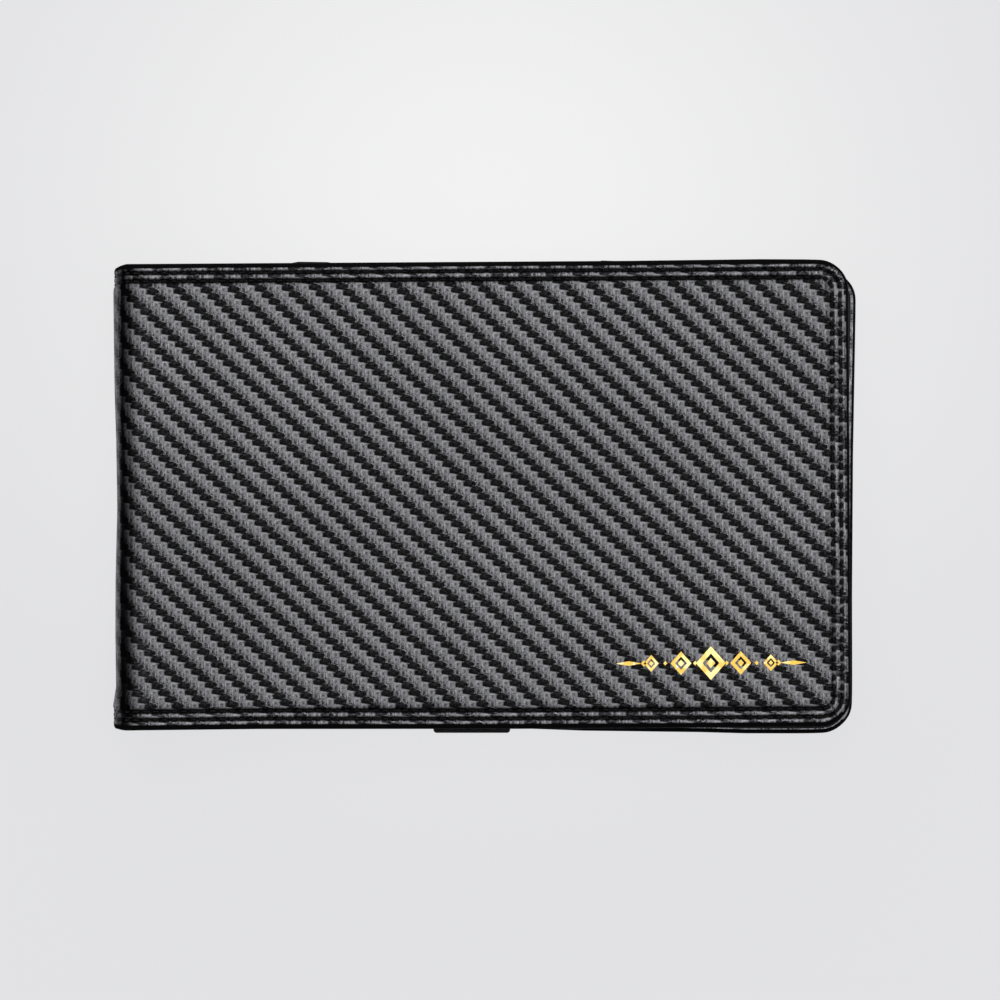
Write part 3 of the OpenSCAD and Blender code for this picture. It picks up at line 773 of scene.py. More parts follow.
# %% Mark the crease
# millimetres from the fold, then the share of the tone that is left under painted shade; above one it is a
# painted highlight
CREASE_SHADE = ((0, 0.35, 0.7, 0.95, 1.15, 1.5, 1.8, 2.4, 3.4, 4.6),
                (0.81, 1.2, 0.64, 0.13, 0, 0.002, 0.1, 0.32, 0.65, 1))
DIP, DIP_GIVE = 1.15, 0.35  # a wider band stretches the first DIP_GIVE mm past the dip
SPINE_LIMIT, FADE_HIGHER = spine_half + 0.3, 0.35
BAND_WIDER, BAND_WIDER_LOW, LOW_V = 0.12, 0.5, (-20, 5)
ROLL_ENDS, FADE_ZONE = (0.9, 1.2), ((1.2, 1.6, 3, 5.5), (0, 0.2, 0.2, 0))


def crease_marks(side, flat):
    """Whether each flat point is on the fold's roll, where a painted reflection fades the weave, its
    painted shade there, and how far its dark floats fade.
    """
    beyond_fold = cover_point(side, flat[:, 0], flat[:, 1], 0)[:, 0] - fold_x
    off_spine = flat[:, 0] > SPINE_LIMIT
    on_roll = np.interp(beyond_fold, ROLL_ENDS, (1, 0)) * off_spine
    lower = np.interp(flat[:, 1], LOW_V, (1, 0))
    wider = BAND_WIDER + BAND_WIDER_LOW * lower
    past = beyond_fold - DIP
    squeezed = np.maximum(past - wider, past * DIP_GIVE / (DIP_GIVE + wider))
    from_crease = DIP + np.where(past < 0, past, squeezed)
    shade = np.where(off_spine, np.interp(from_crease, *CREASE_SHADE), 1)
    return on_roll, shade, np.interp(beyond_fold, *FADE_ZONE) * (FADE_HIGHER + (1 - FADE_HIGHER) * lower)


print(f"crease: darkest {DIP} to {CREASE_SHADE[0][5]} mm from the fold")

# %% [markdown]
# ## Build both covers
#
# A grid fills the flat panel, and bands of faces join each ring to the next. The outermost bands
# are the cut edge, with edge paint. It starts a band later on the front cover's right edge, and
# ends a band later on the rear cover's bottom edge, where the extra band is painted shade.

# %% Join the rings
PAINTED = 7  # bands with edge paint, from the first band of the roll


def cover_faces(side, wide, tall):
    """Faces of the panel and of all bands, and the material of each: 0 woven, 1 painted."""
    index = np.arange(wide * tall).reshape(wide, tall)
    low_corner, high_corner = ([index[-1, end]] * (CORNER_STEPS - 1) for end in (0, -1))
    border = [*index[:, 0], *low_corner, *index[-1, :], *high_corner, *index[::-1, -1]]
    size, bands = len(border), len(RINGS) - 1 + len(ROLL) + len(UNDER)
    loops = [np.array(border)] + [wide * tall + k * size + np.arange(size) for k in range(bands)]
    faces = [(index[i, j], index[i + 1, j], index[i + 1, j + 1], index[i, j + 1])
             for i in range(wide - 1) for j in range(tall - 1)]
    kinds = [0] * len(faces)
    bottom_end = wide + CORNER_STEPS // 2
    right_edge = range(bottom_end, wide + tall + 3 * CORNER_STEPS // 2)
    for k, (inside, outside) in enumerate(zip(loops, loops[1:])):
        for j in range(size - 1):
            faces.append(list(dict.fromkeys([inside[j], outside[j], outside[j + 1], inside[j + 1]])))
            first = len(RINGS) + (side > 0 and j in right_edge)
            # on the rear cover's bottom edge one more band of edge paint is painted shade
            last = len(RINGS) + PAINTED + (side < 0 and j < bottom_end)
            kinds.append(int(first <= k < last))
    return faces if side > 0 else [list(f)[::-1] for f in faces], kinds


print("faces of the front cover:", len(cover_faces(1, *(len(line) for line in stations(1)))[0]))

# %% [markdown]
# Where the leather rolls over the fold, its grooves are shallower, and their painted shade is
# lighter. Each leather replaces its solids, laid round the crease.

# %% Lay the leather of both covers
ON_ROLL_DEPTH, ON_ROLL_SHADE = 0.65, 0.6  # how much shallower and paler a groove is on the fold


def cover_mesh(name, side):
    us, vs = stations(side)
    grid_u, grid_v = np.meshgrid(us, vs, indexing="ij")
    middle = np.stack([grid_u.ravel(), grid_v.ravel()], -1)
    rings = [(middle, PANEL_RISE, 1, 0)] + cover_rings(side)
    flat = np.concatenate([path for path, *_ in rings])
    heights, shades, plains = (
        np.concatenate([np.broadcast_to(each[i], len(each[0])) for each in rings]) for i in (1, 2, 3))
    on_roll, crease, far_fade = crease_marks(side, flat)
    on_face = np.arange(len(flat)) < sum(len(path) for path, *_ in rings[:len(RINGS)])
    points = cover_point(side, flat[:, 0], flat[:, 1], heights * (1 - ON_ROLL_DEPTH * on_roll * on_face))
    shades = 1 - (1 - shades) * (1 - ON_ROLL_SHADE * on_roll)
    faces, kinds = cover_faces(side, len(us), len(vs))
    # shade and crease carry painted shade and highlights; stretch carries the painted reflection on the
    # fold, painted light on ridges and the rear lip, and the fade past the crease
    return add_mesh(name, points, faces, [carbon_leather, painted_edge], kinds,
                    pattern_place(side, flat[:, 0], points[:, 1]), shade=shades, crease=crease,
                    stretch=np.maximum(np.maximum(on_roll, far_fade), plains))


for name, side, solids in (("front_leather", 1, ("front_skin", "spine_skin")),
                           ("rear_leather", -1, ("rear_skin",))):
    leather = cover_mesh(name, side)
    blend_like(leather)
    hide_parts(*solids)
    print(name, len(leather.data.vertices), "points")

# %% [markdown]
# ## The stitches
#
# Two rows of black thread run round both covers. Each stitch shows as a short bead that dives
# into its needle hole at each end. One bead is drawn as a bent, tapered tube and copied along the
# rows; it is laid through the same flat-to-round rule as the leather, so it follows the crease.

# %% Draw one stitch
STITCH_LENGTH, THREAD_R, THREAD_SIDES, THREAD_RINGS = 1.12, 0.2, 8, 9
END_TAPER, DIVE, TWIST_SHIFT = 0.55, 0.3, 0.37


def bead():
    """Points and faces of one stitch along its own first axis."""
    t = np.linspace(-1, 1, THREAD_RINGS)
    radius = THREAD_R * (1 - END_TAPER * np.abs(t) ** 5)
    turn = np.linspace(0, 2 * math.pi, THREAD_SIDES, endpoint=False)
    x = np.repeat(t * STITCH_LENGTH / 2, THREAD_SIDES)
    y = (radius[:, None] * np.cos(turn)).ravel()
    z = (radius[:, None] * np.sin(turn) - DIVE * np.abs(t)[:, None] ** 4).ravel()
    index = np.arange(len(x)).reshape(THREAD_RINGS, THREAD_SIDES).tolist()
    faces = []
    for one, following in zip(index, index[1:]):
        for j in range(THREAD_SIDES):
            k = (j + 1) % THREAD_SIDES
            faces.append((one[j], one[k], following[k], following[j]))
    return np.stack([x, y, z], -1), faces + [tuple(index[0]), tuple(index[-1][::-1])]


BEAD, BEAD_FACES = bead()


def lay_bead(x, y, angle):
    """A bead's places and heights once it is turned and moved on the flat."""
    c, s = math.cos(angle), math.sin(angle)
    return x + BEAD[:, 0] * c - BEAD[:, 1] * s, y + BEAD[:, 0] * s + BEAD[:, 1] * c, BEAD[:, 2]


def thread_mesh(name, beads):
    """One piece of many stitches, each given as its points and whether it looks up."""
    faces, along = [], []
    for number, (_, upward) in enumerate(beads):
        start = number * len(BEAD)
        faces += [tuple(i + start for i in (f if upward else f[::-1])) for f in BEAD_FACES]
        along.append(BEAD[:, :2] + (number * TWIST_SHIFT, 0))
    points = np.concatenate([points for points, _ in beads])
    return add_mesh(name, points, faces, [black_thread], None, np.concatenate(along))


print("points in a stitch:", len(BEAD))

# %% [markdown]
# Waxed thread is black and a little glossy. Its twist is too fine to model, so slanting bands
# along each stitch give both its tone and its bump.

# %% Spin the thread's material
black_thread, tree = new_material("black thread")
twist = node(tree, "ShaderNodeTexWave", {"bands_direction": "DIAGONAL"}, Vector=flat_pattern(tree),
             Scale=1.6, Distortion=0.4).outputs["Fac"]
principled(tree, Base_Color=blend_colours(tree, twist, grey(0.0015), grey(0.005)), Roughness=0.3,
           Specular_IOR_Level=0.12, Normal=relief(tree, twist, 0.7, 0.00006))
print(black_thread.name, "spun")

# %% [markdown]
# A row keeps a stitch's pitch along each straight edge, and divides each corner evenly. Along the
# top and bottom the thread was pulled tight, so it lies a little deeper there.

# %% Sew the covers
ROW_DEPTHS = (-0.19, -0.17)  # along the long edges, and elsewhere


def row_places(side, d):
    """Flat place, direction and depth number of each stitch in a row at a distance d inside."""
    reach, bottom = flat_reach(side), EXTENT[side][1]
    last, inner = reach - corner_r, corner_r - d
    places = []
    for k in range(int(last / PITCH) + 1):
        places += [(k * PITCH, bottom + d, 0.0, 0), (k * PITCH, top_y - d, 0.0, 0)]
    for k in range(math.ceil((bottom + corner_r) / PITCH), math.floor((top_y - corner_r) / PITCH) + 1):
        places.append((reach - d, k * PITCH, math.pi / 2, 1))
    count = max(2, round(inner * math.pi / 2 / PITCH))
    for k in range(count):
        angle = (k + 0.5) / count * math.pi / 2
        u, from_edge = last + inner * math.sin(angle), corner_r - inner * math.cos(angle)
        places += [(u, bottom + from_edge, angle, 1), (u, top_y - from_edge, -angle, 1)]
    return places


def sew(name, side, places, depths, out=1):
    """Stitches at flat places of a cover, as one piece; out is -1 on its inner face."""
    beads = []
    for u, v, angle, depth in places:
        bead_u, bead_v, bead_h = lay_bead(u, v, angle)
        beads.append((cover_point(side, bead_u, bead_v, out * bead_h + depths[depth]), side * out > 0))
    piece = thread_mesh(name, beads)
    print(name, len(beads))
    return piece


for name, side in (("front_stitches", 1), ("rear_stitches", -1)):
    stitches = sew(name, side, [place for d in ROWS for place in row_places(side, d)], ROW_DEPTHS)
    blend_like(stitches)

# %% [markdown]
# ## A gold ornament
#
# The lower right corner carries a small foil-stamped band. Here it is a plain chain of lozenges
# between two tapered rules. Hot foil is a thin metal film pressed into the leather, so it is a
# very thin plate, with a deeper tone in patches and small flecks where the film broke.

# %% Mix the gold foil
gold_foil, tree = new_material("gold foil")
place = in_millimetres(tree)
fleck, cloud = noise(tree, place, 1.9, 4.0), noise(tree, place, 0.42, 2.0)
foil = blend_colours(tree, smooth(tree, cloud, 0.42, 0.6), (0.98, 0.80, 0.32, 1), (0.80, 0.50, 0.09, 1))
foil = blend_colours(tree, smooth(tree, fleck, 0.6, 0.72), foil, (0.95, 0.9, 0.7, 1))
principled(tree, Base_Color=foil, Metallic=0.75, Roughness=0.42, Normal=relief(tree, fleck, 0.5, 0.00003))
print(gold_foil.name, "mixed")

# %% [markdown]
# A plate of foil is a rim and a flat top. Where it has a hole, the faces run down inside it.
# Where it has none, they meet in its middle, and a weld later joins the points that fall together.

# %% Cut a foil plate
FOIL_T, FOIL_ROOT = 0.02, -0.02


def lozenge(x, y, half_w, half_h):
    return [(x + half_w, y), (x, y + half_h), (x - half_w, y), (x, y - half_h)]


def plate(outline, hole):
    """Points and faces of a thin plate; hole is its inner outline, or None."""
    count = len(outline)
    inner = hole if hole is not None else [np.mean(outline, 0)] * count
    rings = [(outline, FOIL_ROOT), (outline, FOIL_T), (inner, FOIL_T)]
    rings += [(inner, FOIL_ROOT)] if hole is not None else []
    points = [(*p, h) for ring_points, h in rings for p in ring_points]
    index = np.arange(len(points)).reshape(len(rings), count).tolist()
    faces = [(one[j], one[(j + 1) % count], following[(j + 1) % count], following[j])
             for one, following in zip(index, index[1:]) for j in range(count)]
    return points, faces


print("points in a plate:", len(plate(lozenge(0, 0, 1, 1), None)[0]))

# %% [markdown]
# The band is worked out from one lozenge: five large ones with a hole and a small one inside,
# dots between them, and a long flat one at each end for the tapered rule.

# %% Stamp the lozenge band
BAND_X, BAND_Y, BAND_HALF, FOIL_H = front_x - 20.45, front_y + 9.35, 14.0, 0.1
LOZENGE_STEP, LOZENGE_HALVES = 4.4, (2.5, 1.75, 1.25)
BODY_W, HOLE, SEED = 0.88, (0.5, 0.57), (0.26, 0.3)  # sizes as shares of a lozenge's half height
DOT, DOT_SHIFT, RULE_FROM, RULE_H = (0.3, 0.34), 0.12, 10.2, 0.34
END_DOT, END_DOT_X = (0.42, 0.46), 9.9
shapes = []
for k in range(-2, 3):
    x, half = BAND_X + k * LOZENGE_STEP, LOZENGE_HALVES[abs(k)]
    hole = lozenge(x, BAND_Y, half * HOLE[0], half * HOLE[1])
    shapes.append((lozenge(x, BAND_Y, half * BODY_W, half), hole))
    shapes.append((lozenge(x, BAND_Y, half * SEED[0], half * SEED[1]), None))
for k in (-1.5, -0.5, 0.5, 1.5):
    shapes.append((lozenge(BAND_X + k * LOZENGE_STEP + DOT_SHIFT * np.sign(k), BAND_Y, *DOT), None))
for s in (-1, 1):
    middle, half = BAND_X + s * (RULE_FROM + BAND_HALF) / 2, (BAND_HALF - RULE_FROM) / 2
    shapes.append((lozenge(middle, BAND_Y, half, RULE_H), None))
    shapes.append((lozenge(BAND_X + s * END_DOT_X, BAND_Y, *END_DOT), None))
points, faces = [], []
for outline, hole in shapes:
    plate_points, plate_faces = plate(outline, hole)
    faces += [tuple(i + len(points) for i in f) for f in plate_faces]
    points += plate_points
u, v, h = np.array(points).T
band = add_mesh("foil_band", cover_point(1, u - plate_x + plate_u, v, h + FOIL_H), faces, [gold_foil])
band.data.polygons.foreach_set("use_smooth", np.zeros(len(band.data.polygons), bool))
band.modifiers.new("clean", "WELD").merge_threshold = 0.01 * MM
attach(band, "front_cover")
print("foil shapes:", len(shapes))

# %% [markdown]
# ## Finishes of the inside
#
# Pockets and the strap are fine-grained leather. Grain is small rounded pebbles with dark creases
# between them: cells with their edges smoothed, warped a little so that no two look alike. Two
# leathers use it, so it is a group that gives the grain's height and its tone.

# %% Build the grain group
GRAIN_WARP, PORE_HEIGHT = (0.35, 0.35, 0.35), 0.35
grain_group, given, out = new_group("fine grain", [("Vector", ARROW, (0, 0, 0)), ("Pebble", NUMBER, 0.5)],
                                    ["Height", "Tone"])
grain_calc = partial(maths, grain_group)
warp = node(grain_group, "ShaderNodeTexNoise", Vector=given["Vector"], Scale=1.2, Detail=2.0).outputs
warped = node(grain_group, "ShaderNodeVectorMath", {"operation": "MULTIPLY_ADD"}, in_0=warp["Color"],
              in_1=GRAIN_WARP, in_2=given["Vector"]).outputs[0]
sized = scaled_colour(grain_group, warped, grain_calc("DIVIDE", 1.0, given["Pebble"]))
cells = node(grain_group, "ShaderNodeTexVoronoi", {"feature": "DISTANCE_TO_EDGE"}, Vector=sized, Scale=1.0)
pebbles = smooth(grain_group, cells.outputs["Distance"], 0.0, 0.28)
pores = noise(grain_group, sized, 3.0, 3.0)
tone = grain_calc("MULTIPLY_ADD", pebbles, 0.35, grain_calc("MULTIPLY_ADD", warp["Fac"], 0.6, 0.4))
grain_group.links.new(grain_calc("MULTIPLY_ADD", pores, PORE_HEIGHT, pebbles), out["Height"])
grain_group.links.new(tone, out["Tone"])
print("grain group of", len(grain_group.nodes), "nodes")

# %% [markdown]
# Both leathers place the group with their own pebble size, colour and roughness. Where the mesh
# marks it, the leather is paler at a rim, and darker in a groove, which is painted shade.

# %% Make the grained leathers
def grained(name, colour, pebble, rough, specular):
    material, tree = new_material(name)
    grain = use_group(tree, grain_group, Vector=in_millimetres(tree), Pebble=pebble)
    # the mark makes a rim paler and puts painted shade in the grooves
    tone = maths(tree, "MULTIPLY", grain["Tone"], maths(tree, "ADD", mark(tree, "wear"), 1.0))
    principled(tree, Base_Color=scaled_colour(tree, colour, tone), Specular_IOR_Level=specular,
               Roughness=smooth(tree, grain["Tone"], 0.5, 1.2, rough + 0.1, rough - 0.08),
               Normal=relief(tree, grain["Height"], 1.0, 0.00012))
    return material


pocket_leather = grained("pocket leather", (0.026, 0.026, 0.0275), 0.55, 0.42, 0.45)
strap_leather = grained("strap leather", (0.011, 0.011, 0.0115), 0.4, 0.5, 0.2)
print("grained:", pocket_leather.name, "and", strap_leather.name)

# %% [markdown]
# The linings are thin, plain-woven cloth: warp and weft cross one over and one under, which is
# the product of two sine waves. Slubs, where the yarn is thicker, come from noise. Only the
# lining uses it, but a group keeps the weave apart from the shader, so another colour is easy.

# %% Weave the lining cloth
YARN = 0.24
cloth_group, given, out = new_group("plain cloth", [("Vector", ARROW, (0, 0, 0)), ("Thread", NUMBER, 0.25)],
                                    ["Height", "Tone"])
cloth_calc = partial(maths, cloth_group)
flat = node(cloth_group, "ShaderNodeSeparateXYZ", Vector=given["Vector"]).outputs
turns = cloth_calc("DIVIDE", math.pi, given["Thread"])
over = [cloth_calc("SINE", cloth_calc("MULTIPLY", flat[axis], turns)) for axis in ("X", "Y")]
slub = noise(cloth_group, given["Vector"], 2.5, 3.0)
height = cloth_calc("MULTIPLY_ADD", cloth_calc("MULTIPLY", *over), 0.5, cloth_calc("MULTIPLY", slub, 0.6))
cloth_group.links.new(height, out["Height"])
cloth_group.links.new(cloth_calc("MULTIPLY_ADD", height, 0.5, 0.75), out["Tone"])

lining_cloth, tree = new_material("lining cloth")
plain = use_group(tree, cloth_group, Vector=flat_pattern(tree), Thread=YARN)
principled(tree, Base_Color=scaled_colour(tree, (0.02, 0.02, 0.022), plain["Tone"]), Sheen_Weight=0.15,
           Roughness=smooth(tree, plain["Height"], -0.3, 0.8, 0.85, 0.7),
           Normal=relief(tree, plain["Height"], 0.9, 0.00006))
print("cloth group of", len(cloth_group.nodes), "nodes")

# %% [markdown]
# The boards are grey pulp and the window is a clear, slightly rippled film. Both are used once.

# %% Make the board and the film
grey_board, tree = new_material("grey board")
pulp = noise(tree, in_millimetres(tree), 3.0, 5.0)
principled(tree, Base_Color=blend_colours(tree, pulp, (0.28, 0.26, 0.23, 1), (0.42, 0.39, 0.35, 1)),
           Roughness=smooth(tree, pulp, 0.3, 0.7, 0.8, 0.95), Normal=relief(tree, pulp, 0.5, 0.00005))

clear_film, tree = new_material("clear film")
ripple = noise(tree, in_millimetres(tree), 0.04, 1.0)
principled(tree, Base_Color=blend_colours(tree, ripple, (0.93, 0.95, 0.96, 1), (0.97, 0.98, 0.98, 1)),
           Roughness=smooth(tree, ripple, 0.3, 0.7, 0.05, 0.12), Transmission_Weight=1.0, IOR=1.3,
           Normal=relief(tree, ripple, 0.25, 0.0004))
print("made:", grey_board.name, "and", clear_film.name)

# %% [markdown]
# The clip is nickel-plated steel and its spring is bare. Polishing and rolling leave fine lines
# one way, so the brushing group is noise stretched along them, with soft smudges over it.

# %% Brush the steels
brush_group, given, out = new_group(
    "brushed metal", [("Vector", ARROW, (0, 0, 0)), ("Stretch", ARROW, (1, 1, 1))], ["Height", "Dull"])
brush_calc = partial(maths, brush_group)
drawn = node(brush_group, "ShaderNodeVectorMath", {"operation": "MULTIPLY"}, in_0=given["Vector"],
             in_1=given["Stretch"]).outputs[0]
lines, smudge = noise(brush_group, drawn, 1.0, 4.0), noise(brush_group, given["Vector"], 0.25, 3.0)
streak = brush_calc("MULTIPLY", smooth(brush_group, lines, 0.35, 0.65), 0.7)
dull = brush_calc("MULTIPLY_ADD", smooth(brush_group, smudge, 0.35, 0.7), 0.3, streak)
brush_group.links.new(lines, out["Height"])
brush_group.links.new(dull, out["Dull"])


def steel(name, bright, dark, stretch, rough):
    material, tree = new_material(name)
    brushed = use_group(tree, brush_group, Vector=in_millimetres(tree), Stretch=stretch)
    principled(tree, Base_Color=blend_colours(tree, brushed["Dull"], bright, dark), Metallic=1.0,
               Roughness=smooth(tree, brushed["Dull"], 0.1, 0.6, rough, rough + 0.08),
               Normal=relief(tree, brushed["Height"], 0.6, 0.00002))
    return material


polished_steel = steel(
    "polished steel", (0.74, 0.74, 0.75, 1), (0.64, 0.64, 0.66, 1), stretch=(9.0, 0.35, 9.0), rough=0.2)
spring_steel = steel(
    "spring steel", (0.46, 0.47, 0.49, 1), (0.30, 0.31, 0.34, 1), stretch=(6.0, 0.3, 6.0), rough=0.3)
print("groups:", [group.name for group in bpy.data.node_groups])

# %% [markdown]
# ## Pockets and the window
#
# Every pocket layer is a thin leather panel. Three of its sides are stitched down through the
# cover, and the fourth, its mouth, is turned and creased with a hot iron. A panel is drawn as
# rings inside its outline, so the pressed lines and the rounded rim are real shape; plain boxes
# would show no rim and no stitch lines when the wallet is open.

# %% Draw a panel's rings
SIDE_POINTS, CORNER_POINTS, SHARPEST = 90, 9, 0.03


def panel_ring(box, radii, d):
    """Points at a distance d inside a rounded box, anticlockwise from its lower left corner."""
    left, bottom, right, top = box[0] + d, box[1] + d, box[2] - d, box[3] - d
    corners = ((left, bottom, 1, 1), (right, bottom, -1, 1), (right, top, -1, -1), (left, top, 1, -1))
    arcs = []
    for k, (x, y, side_x, side_y) in enumerate(corners):
        r = max(radii[k] - d, SHARPEST)
        angle = np.radians(180 + 90 * k + np.linspace(0, 90, CORNER_POINTS))
        arcs.append(np.stack([x + r * (side_x + np.cos(angle)), y + r * (side_y + np.sin(angle))], -1))
    parts = []
    for arc, following in zip(arcs, arcs[1:] + arcs[:1]):
        parts += [arc, np.linspace(arc[-1], following[0], SIDE_POINTS + 2)[1:-1]]
    return np.concatenate(parts)


def ring_kinds(kinds):
    """What each point of a ring belongs to: a corner takes the stitched one of its two sides."""
    names = []
    for k, kind in enumerate(kinds):
        before = kinds[k - 1]
        names += [kind if before == "mouth" else before] * CORNER_POINTS + [kind] * SIDE_POINTS
    return names


print("points in a panel's ring:", len(panel_ring((0, 0, 9, 9), (1,) * 4, 0)))

# %% [markdown]
# A panel's section has a rounded rim, made paler, and a pressed groove under each stitch row.
# A mouth has one narrow creased line. Painted shade darkens each groove and line. The window's
# opening repeats the section, seen from inside.

# %% Give a panel its section
STITCH_ROWS = {"double": (0.57, 1.8), "single": (1.3,), "mouth": ()}
PANEL_STEPS = (0.3, 0.42, 0.57, 0.72, 0.86, 1.0, 1.1, 1.2, 1.3, 1.4, 1.52, 1.66, 1.8, 1.94, 2.1, 2.4)
ROW_HALF, CREASE_LINE, CREASE_HALF, CREASE_DEPTH = 0.26, 1.2, 0.13, 0.8
# the rim is made paler, and the grooves get painted shade
RIM_LINE, RIM_WIDTH, RIM_PALENESS, PANEL_GROOVE_SHADE = 0.15, 0.3, 0.5, 0.6
RIM = ((0, -0.14), (0.05, -0.04), (0.15, 0))  # distance inside the edge, height
LOWER_RIM = ((0.1, 0), (0, 0.08))  # the same for the underside
LEDGE, LEDGE_DEPTH = 2, -0.34  # round an opening, for the film


def panel_section(names, d, press):
    """Height of the panel's face at a distance d inside its edge, and its tone mark: a paler rim and
    painted shade in the grooves.
    """
    grooves = {"mouth": CREASE_DEPTH * near(d - CREASE_LINE, CREASE_HALF)}
    for kind in ("double", "single"):
        grooves[kind] = sum(math.exp(-(((d - place) / ROW_HALF) ** 4)) for place in STITCH_ROWS[kind])
    groove = np.array([grooves[name] for name in names])
    return -press * groove, RIM_PALENESS * near(d - RIM_LINE, RIM_WIDTH) - PANEL_GROOVE_SHADE * np.minimum(groove, 1)


def panel_rings(box, radii, names, thick, press, opening, opening_r):
    """Places, heights and tone marks (a paler rim, painted shade in the grooves) of all rings, from the
    underside's edge over the face.
    """
    steps = [(d, None) for d in PANEL_STEPS]
    lower_rim = [(d, h - thick) for d, h in LOWER_RIM]
    outside = [(box, radii, d, h, names) for d, h in (*lower_rim, *RIM, *steps)]
    inside = ()
    if opening is not None:
        inside = (*steps[::-1], *RIM[::-1], (0, LEDGE_DEPTH), (LEDGE, LEDGE_DEPTH), (LEDGE, -thick))
    round_hole = [(opening, (opening_r,) * 4, -d, h, ["single"] * len(names)) for d, h in inside]
    rings = []
    for outline, corner_radii, d, h, kinds in outside + round_hole:
        height, wear = np.full(len(names), h or 0.0), np.full(len(names), RIM_PALENESS)
        if h is None:
            height, wear = panel_section(kinds, abs(d), press)
        rings.append((panel_ring(outline, corner_radii, d), height, wear))
    return rings


print("rings in a panel:", len(LOWER_RIM) + len(RIM) + len(PANEL_STEPS))

# %% [markdown]
# Neighbouring rings are joined by faces. The outermost bands are the cut edge, with edge paint.
# Each panel replaces its imported solid and moves with the same body.

# %% Build a panel
WINDOW_R, FILM_LAP = 3.0, 1.95  # the film laps under its frame by FILM_LAP


def slot_of(node_name):
    return next(part["material_slot"] for part in frame["record"]["subparts"] if part["node"] == node_name)


def panel(name, node_name, up, kinds, radii, materials, press=0.14, opening=None, inset=(0, 0)):
    """A leather panel in the place of a packed one; up is 1 or -1, the way that its face looks."""
    (x0, y0, z0), (x1, y1, z1) = low(node_name), high(node_name)
    box = (x0 + inset[0], y0 + inset[1], x1 - inset[0], y1 - inset[1])
    face_z = z1 if up > 0 else z0
    rings = panel_rings(box, radii, ring_kinds(kinds), z1 - z0, press, opening, WINDOW_R)
    count = len(rings[0][0])
    points = np.concatenate([np.column_stack([places, face_z + up * h]) for places, h, _ in rings])
    index = np.arange(len(points)).reshape(len(rings), count).tolist()
    bands = list(zip(index, index[1:])) + ([(index[-1], index[0])] if opening is not None else [])
    faces = [(one[j], one[(j + 1) % count], following[(j + 1) % count], following[j])
             for one, following in bands for j in range(count)]
    looks = [int(k < 2) for k in range(len(bands)) for _ in range(count)]
    if opening is None:
        faces += [tuple(index[-1]), tuple(index[0][::-1])]
        looks += [0, 0]
    if up < 0:
        faces = [face[::-1] for face in faces]
    made = add_mesh(name, points, faces, list(materials), looks, points[:, :2],
                    wear=np.concatenate([wear for _, _, wear in rings]))
    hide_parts(node_name)
    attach(made, frame["nodes"][node_name]["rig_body"])
    return box, face_z


print("slot of a pocket:", slot_of("slip_pocket"))

# %% [markdown]
# The pockets share their sides, corners and leather. The outside pocket is woven leather with
# deeper lines, the strap is a little wider than its solid, and the rear board is grey pulp.

# %% Make all panels
POCKET_SIDES, POCKET_RADII = ("double", "double", "mouth", "single"), (0.3, corner_r - 0.7, 0.3, 0.3)
OUTSIDE_SIDES, OUTSIDE_RADII = ("mouth", "double", "double", "single"), (0.3, 0.3, corner_r - 0.8, 0.3)
STRAP_SIDES, STRAP_RADII, STRAP_WIDER = ("single",) * 4, (0.5, 0.5, 0.2, 0.2), 0.22
BOARD_SIDES, BOARD_RADII, BOARD_IN = ("mouth",) * 4, (0.3, 3, 3, 0.3), 1.3
window = (*(low("id_window_film")[:2] + FILM_LAP), *(high("id_window_film")[:2] - FILM_LAP))
pocket = partial(panel, kinds=POCKET_SIDES, radii=POCKET_RADII, materials=(pocket_leather, painted_edge))
panels = {}
for number in (1, 2, 3):
    panels[f"front_pocket_{number}"] = pocket(f"card_pocket_{number}", f"front_pocket_{number}", -1)
panels["slip_pocket"] = pocket("slip_pocket_panel", "slip_pocket", 1)
panels["id_window_frame"] = pocket("window_panel", "id_window_frame", 1, opening=window)
panels["quick_pocket"] = panel("outside_pocket", "quick_pocket", -1, OUTSIDE_SIDES, OUTSIDE_RADII,
                               (patch_leather, painted_edge), press=0.3)
panels["pull_strap"] = panel("strap_panel", "pull_strap", 1, STRAP_SIDES, STRAP_RADII,
                             (strap_leather, painted_edge), press=0.1, inset=(-STRAP_WIDER, 0))
panel("rear_stiffener", "rear_board", 1, BOARD_SIDES, BOARD_RADII, (grey_board,) * 2, press=0,
      inset=(BOARD_IN, BOARD_IN))
print("panels:", list(panels))

# %% [markdown]
# ## Stitches of the panels
#
# Stitches follow the same rings as the grooves. Where one panel overlaps another, the lower one's
# stitches start above the upper one's mouth, as the seam is hidden below it.

# %% Place stitches along a panel's sides
LOOK = 0.3  # directions are taken between the points this far behind and ahead


def walk(line, pitch):
    """Places and directions a pitch apart along a line of points."""
    reach = np.concatenate([[0], np.cumsum(np.hypot(*np.diff(line, axis=0).T))])
    count = int(reach[-1] / pitch)
    at = (np.arange(count) + 0.5) * reach[-1] / max(count, 1)
    here, ahead, behind = (
        [np.interp(at + step, reach, axis) for axis in line.T] for step in (0, LOOK, -LOOK))
    return list(zip(*here, np.arctan2(ahead[1] - behind[1], ahead[0] - behind[0])))


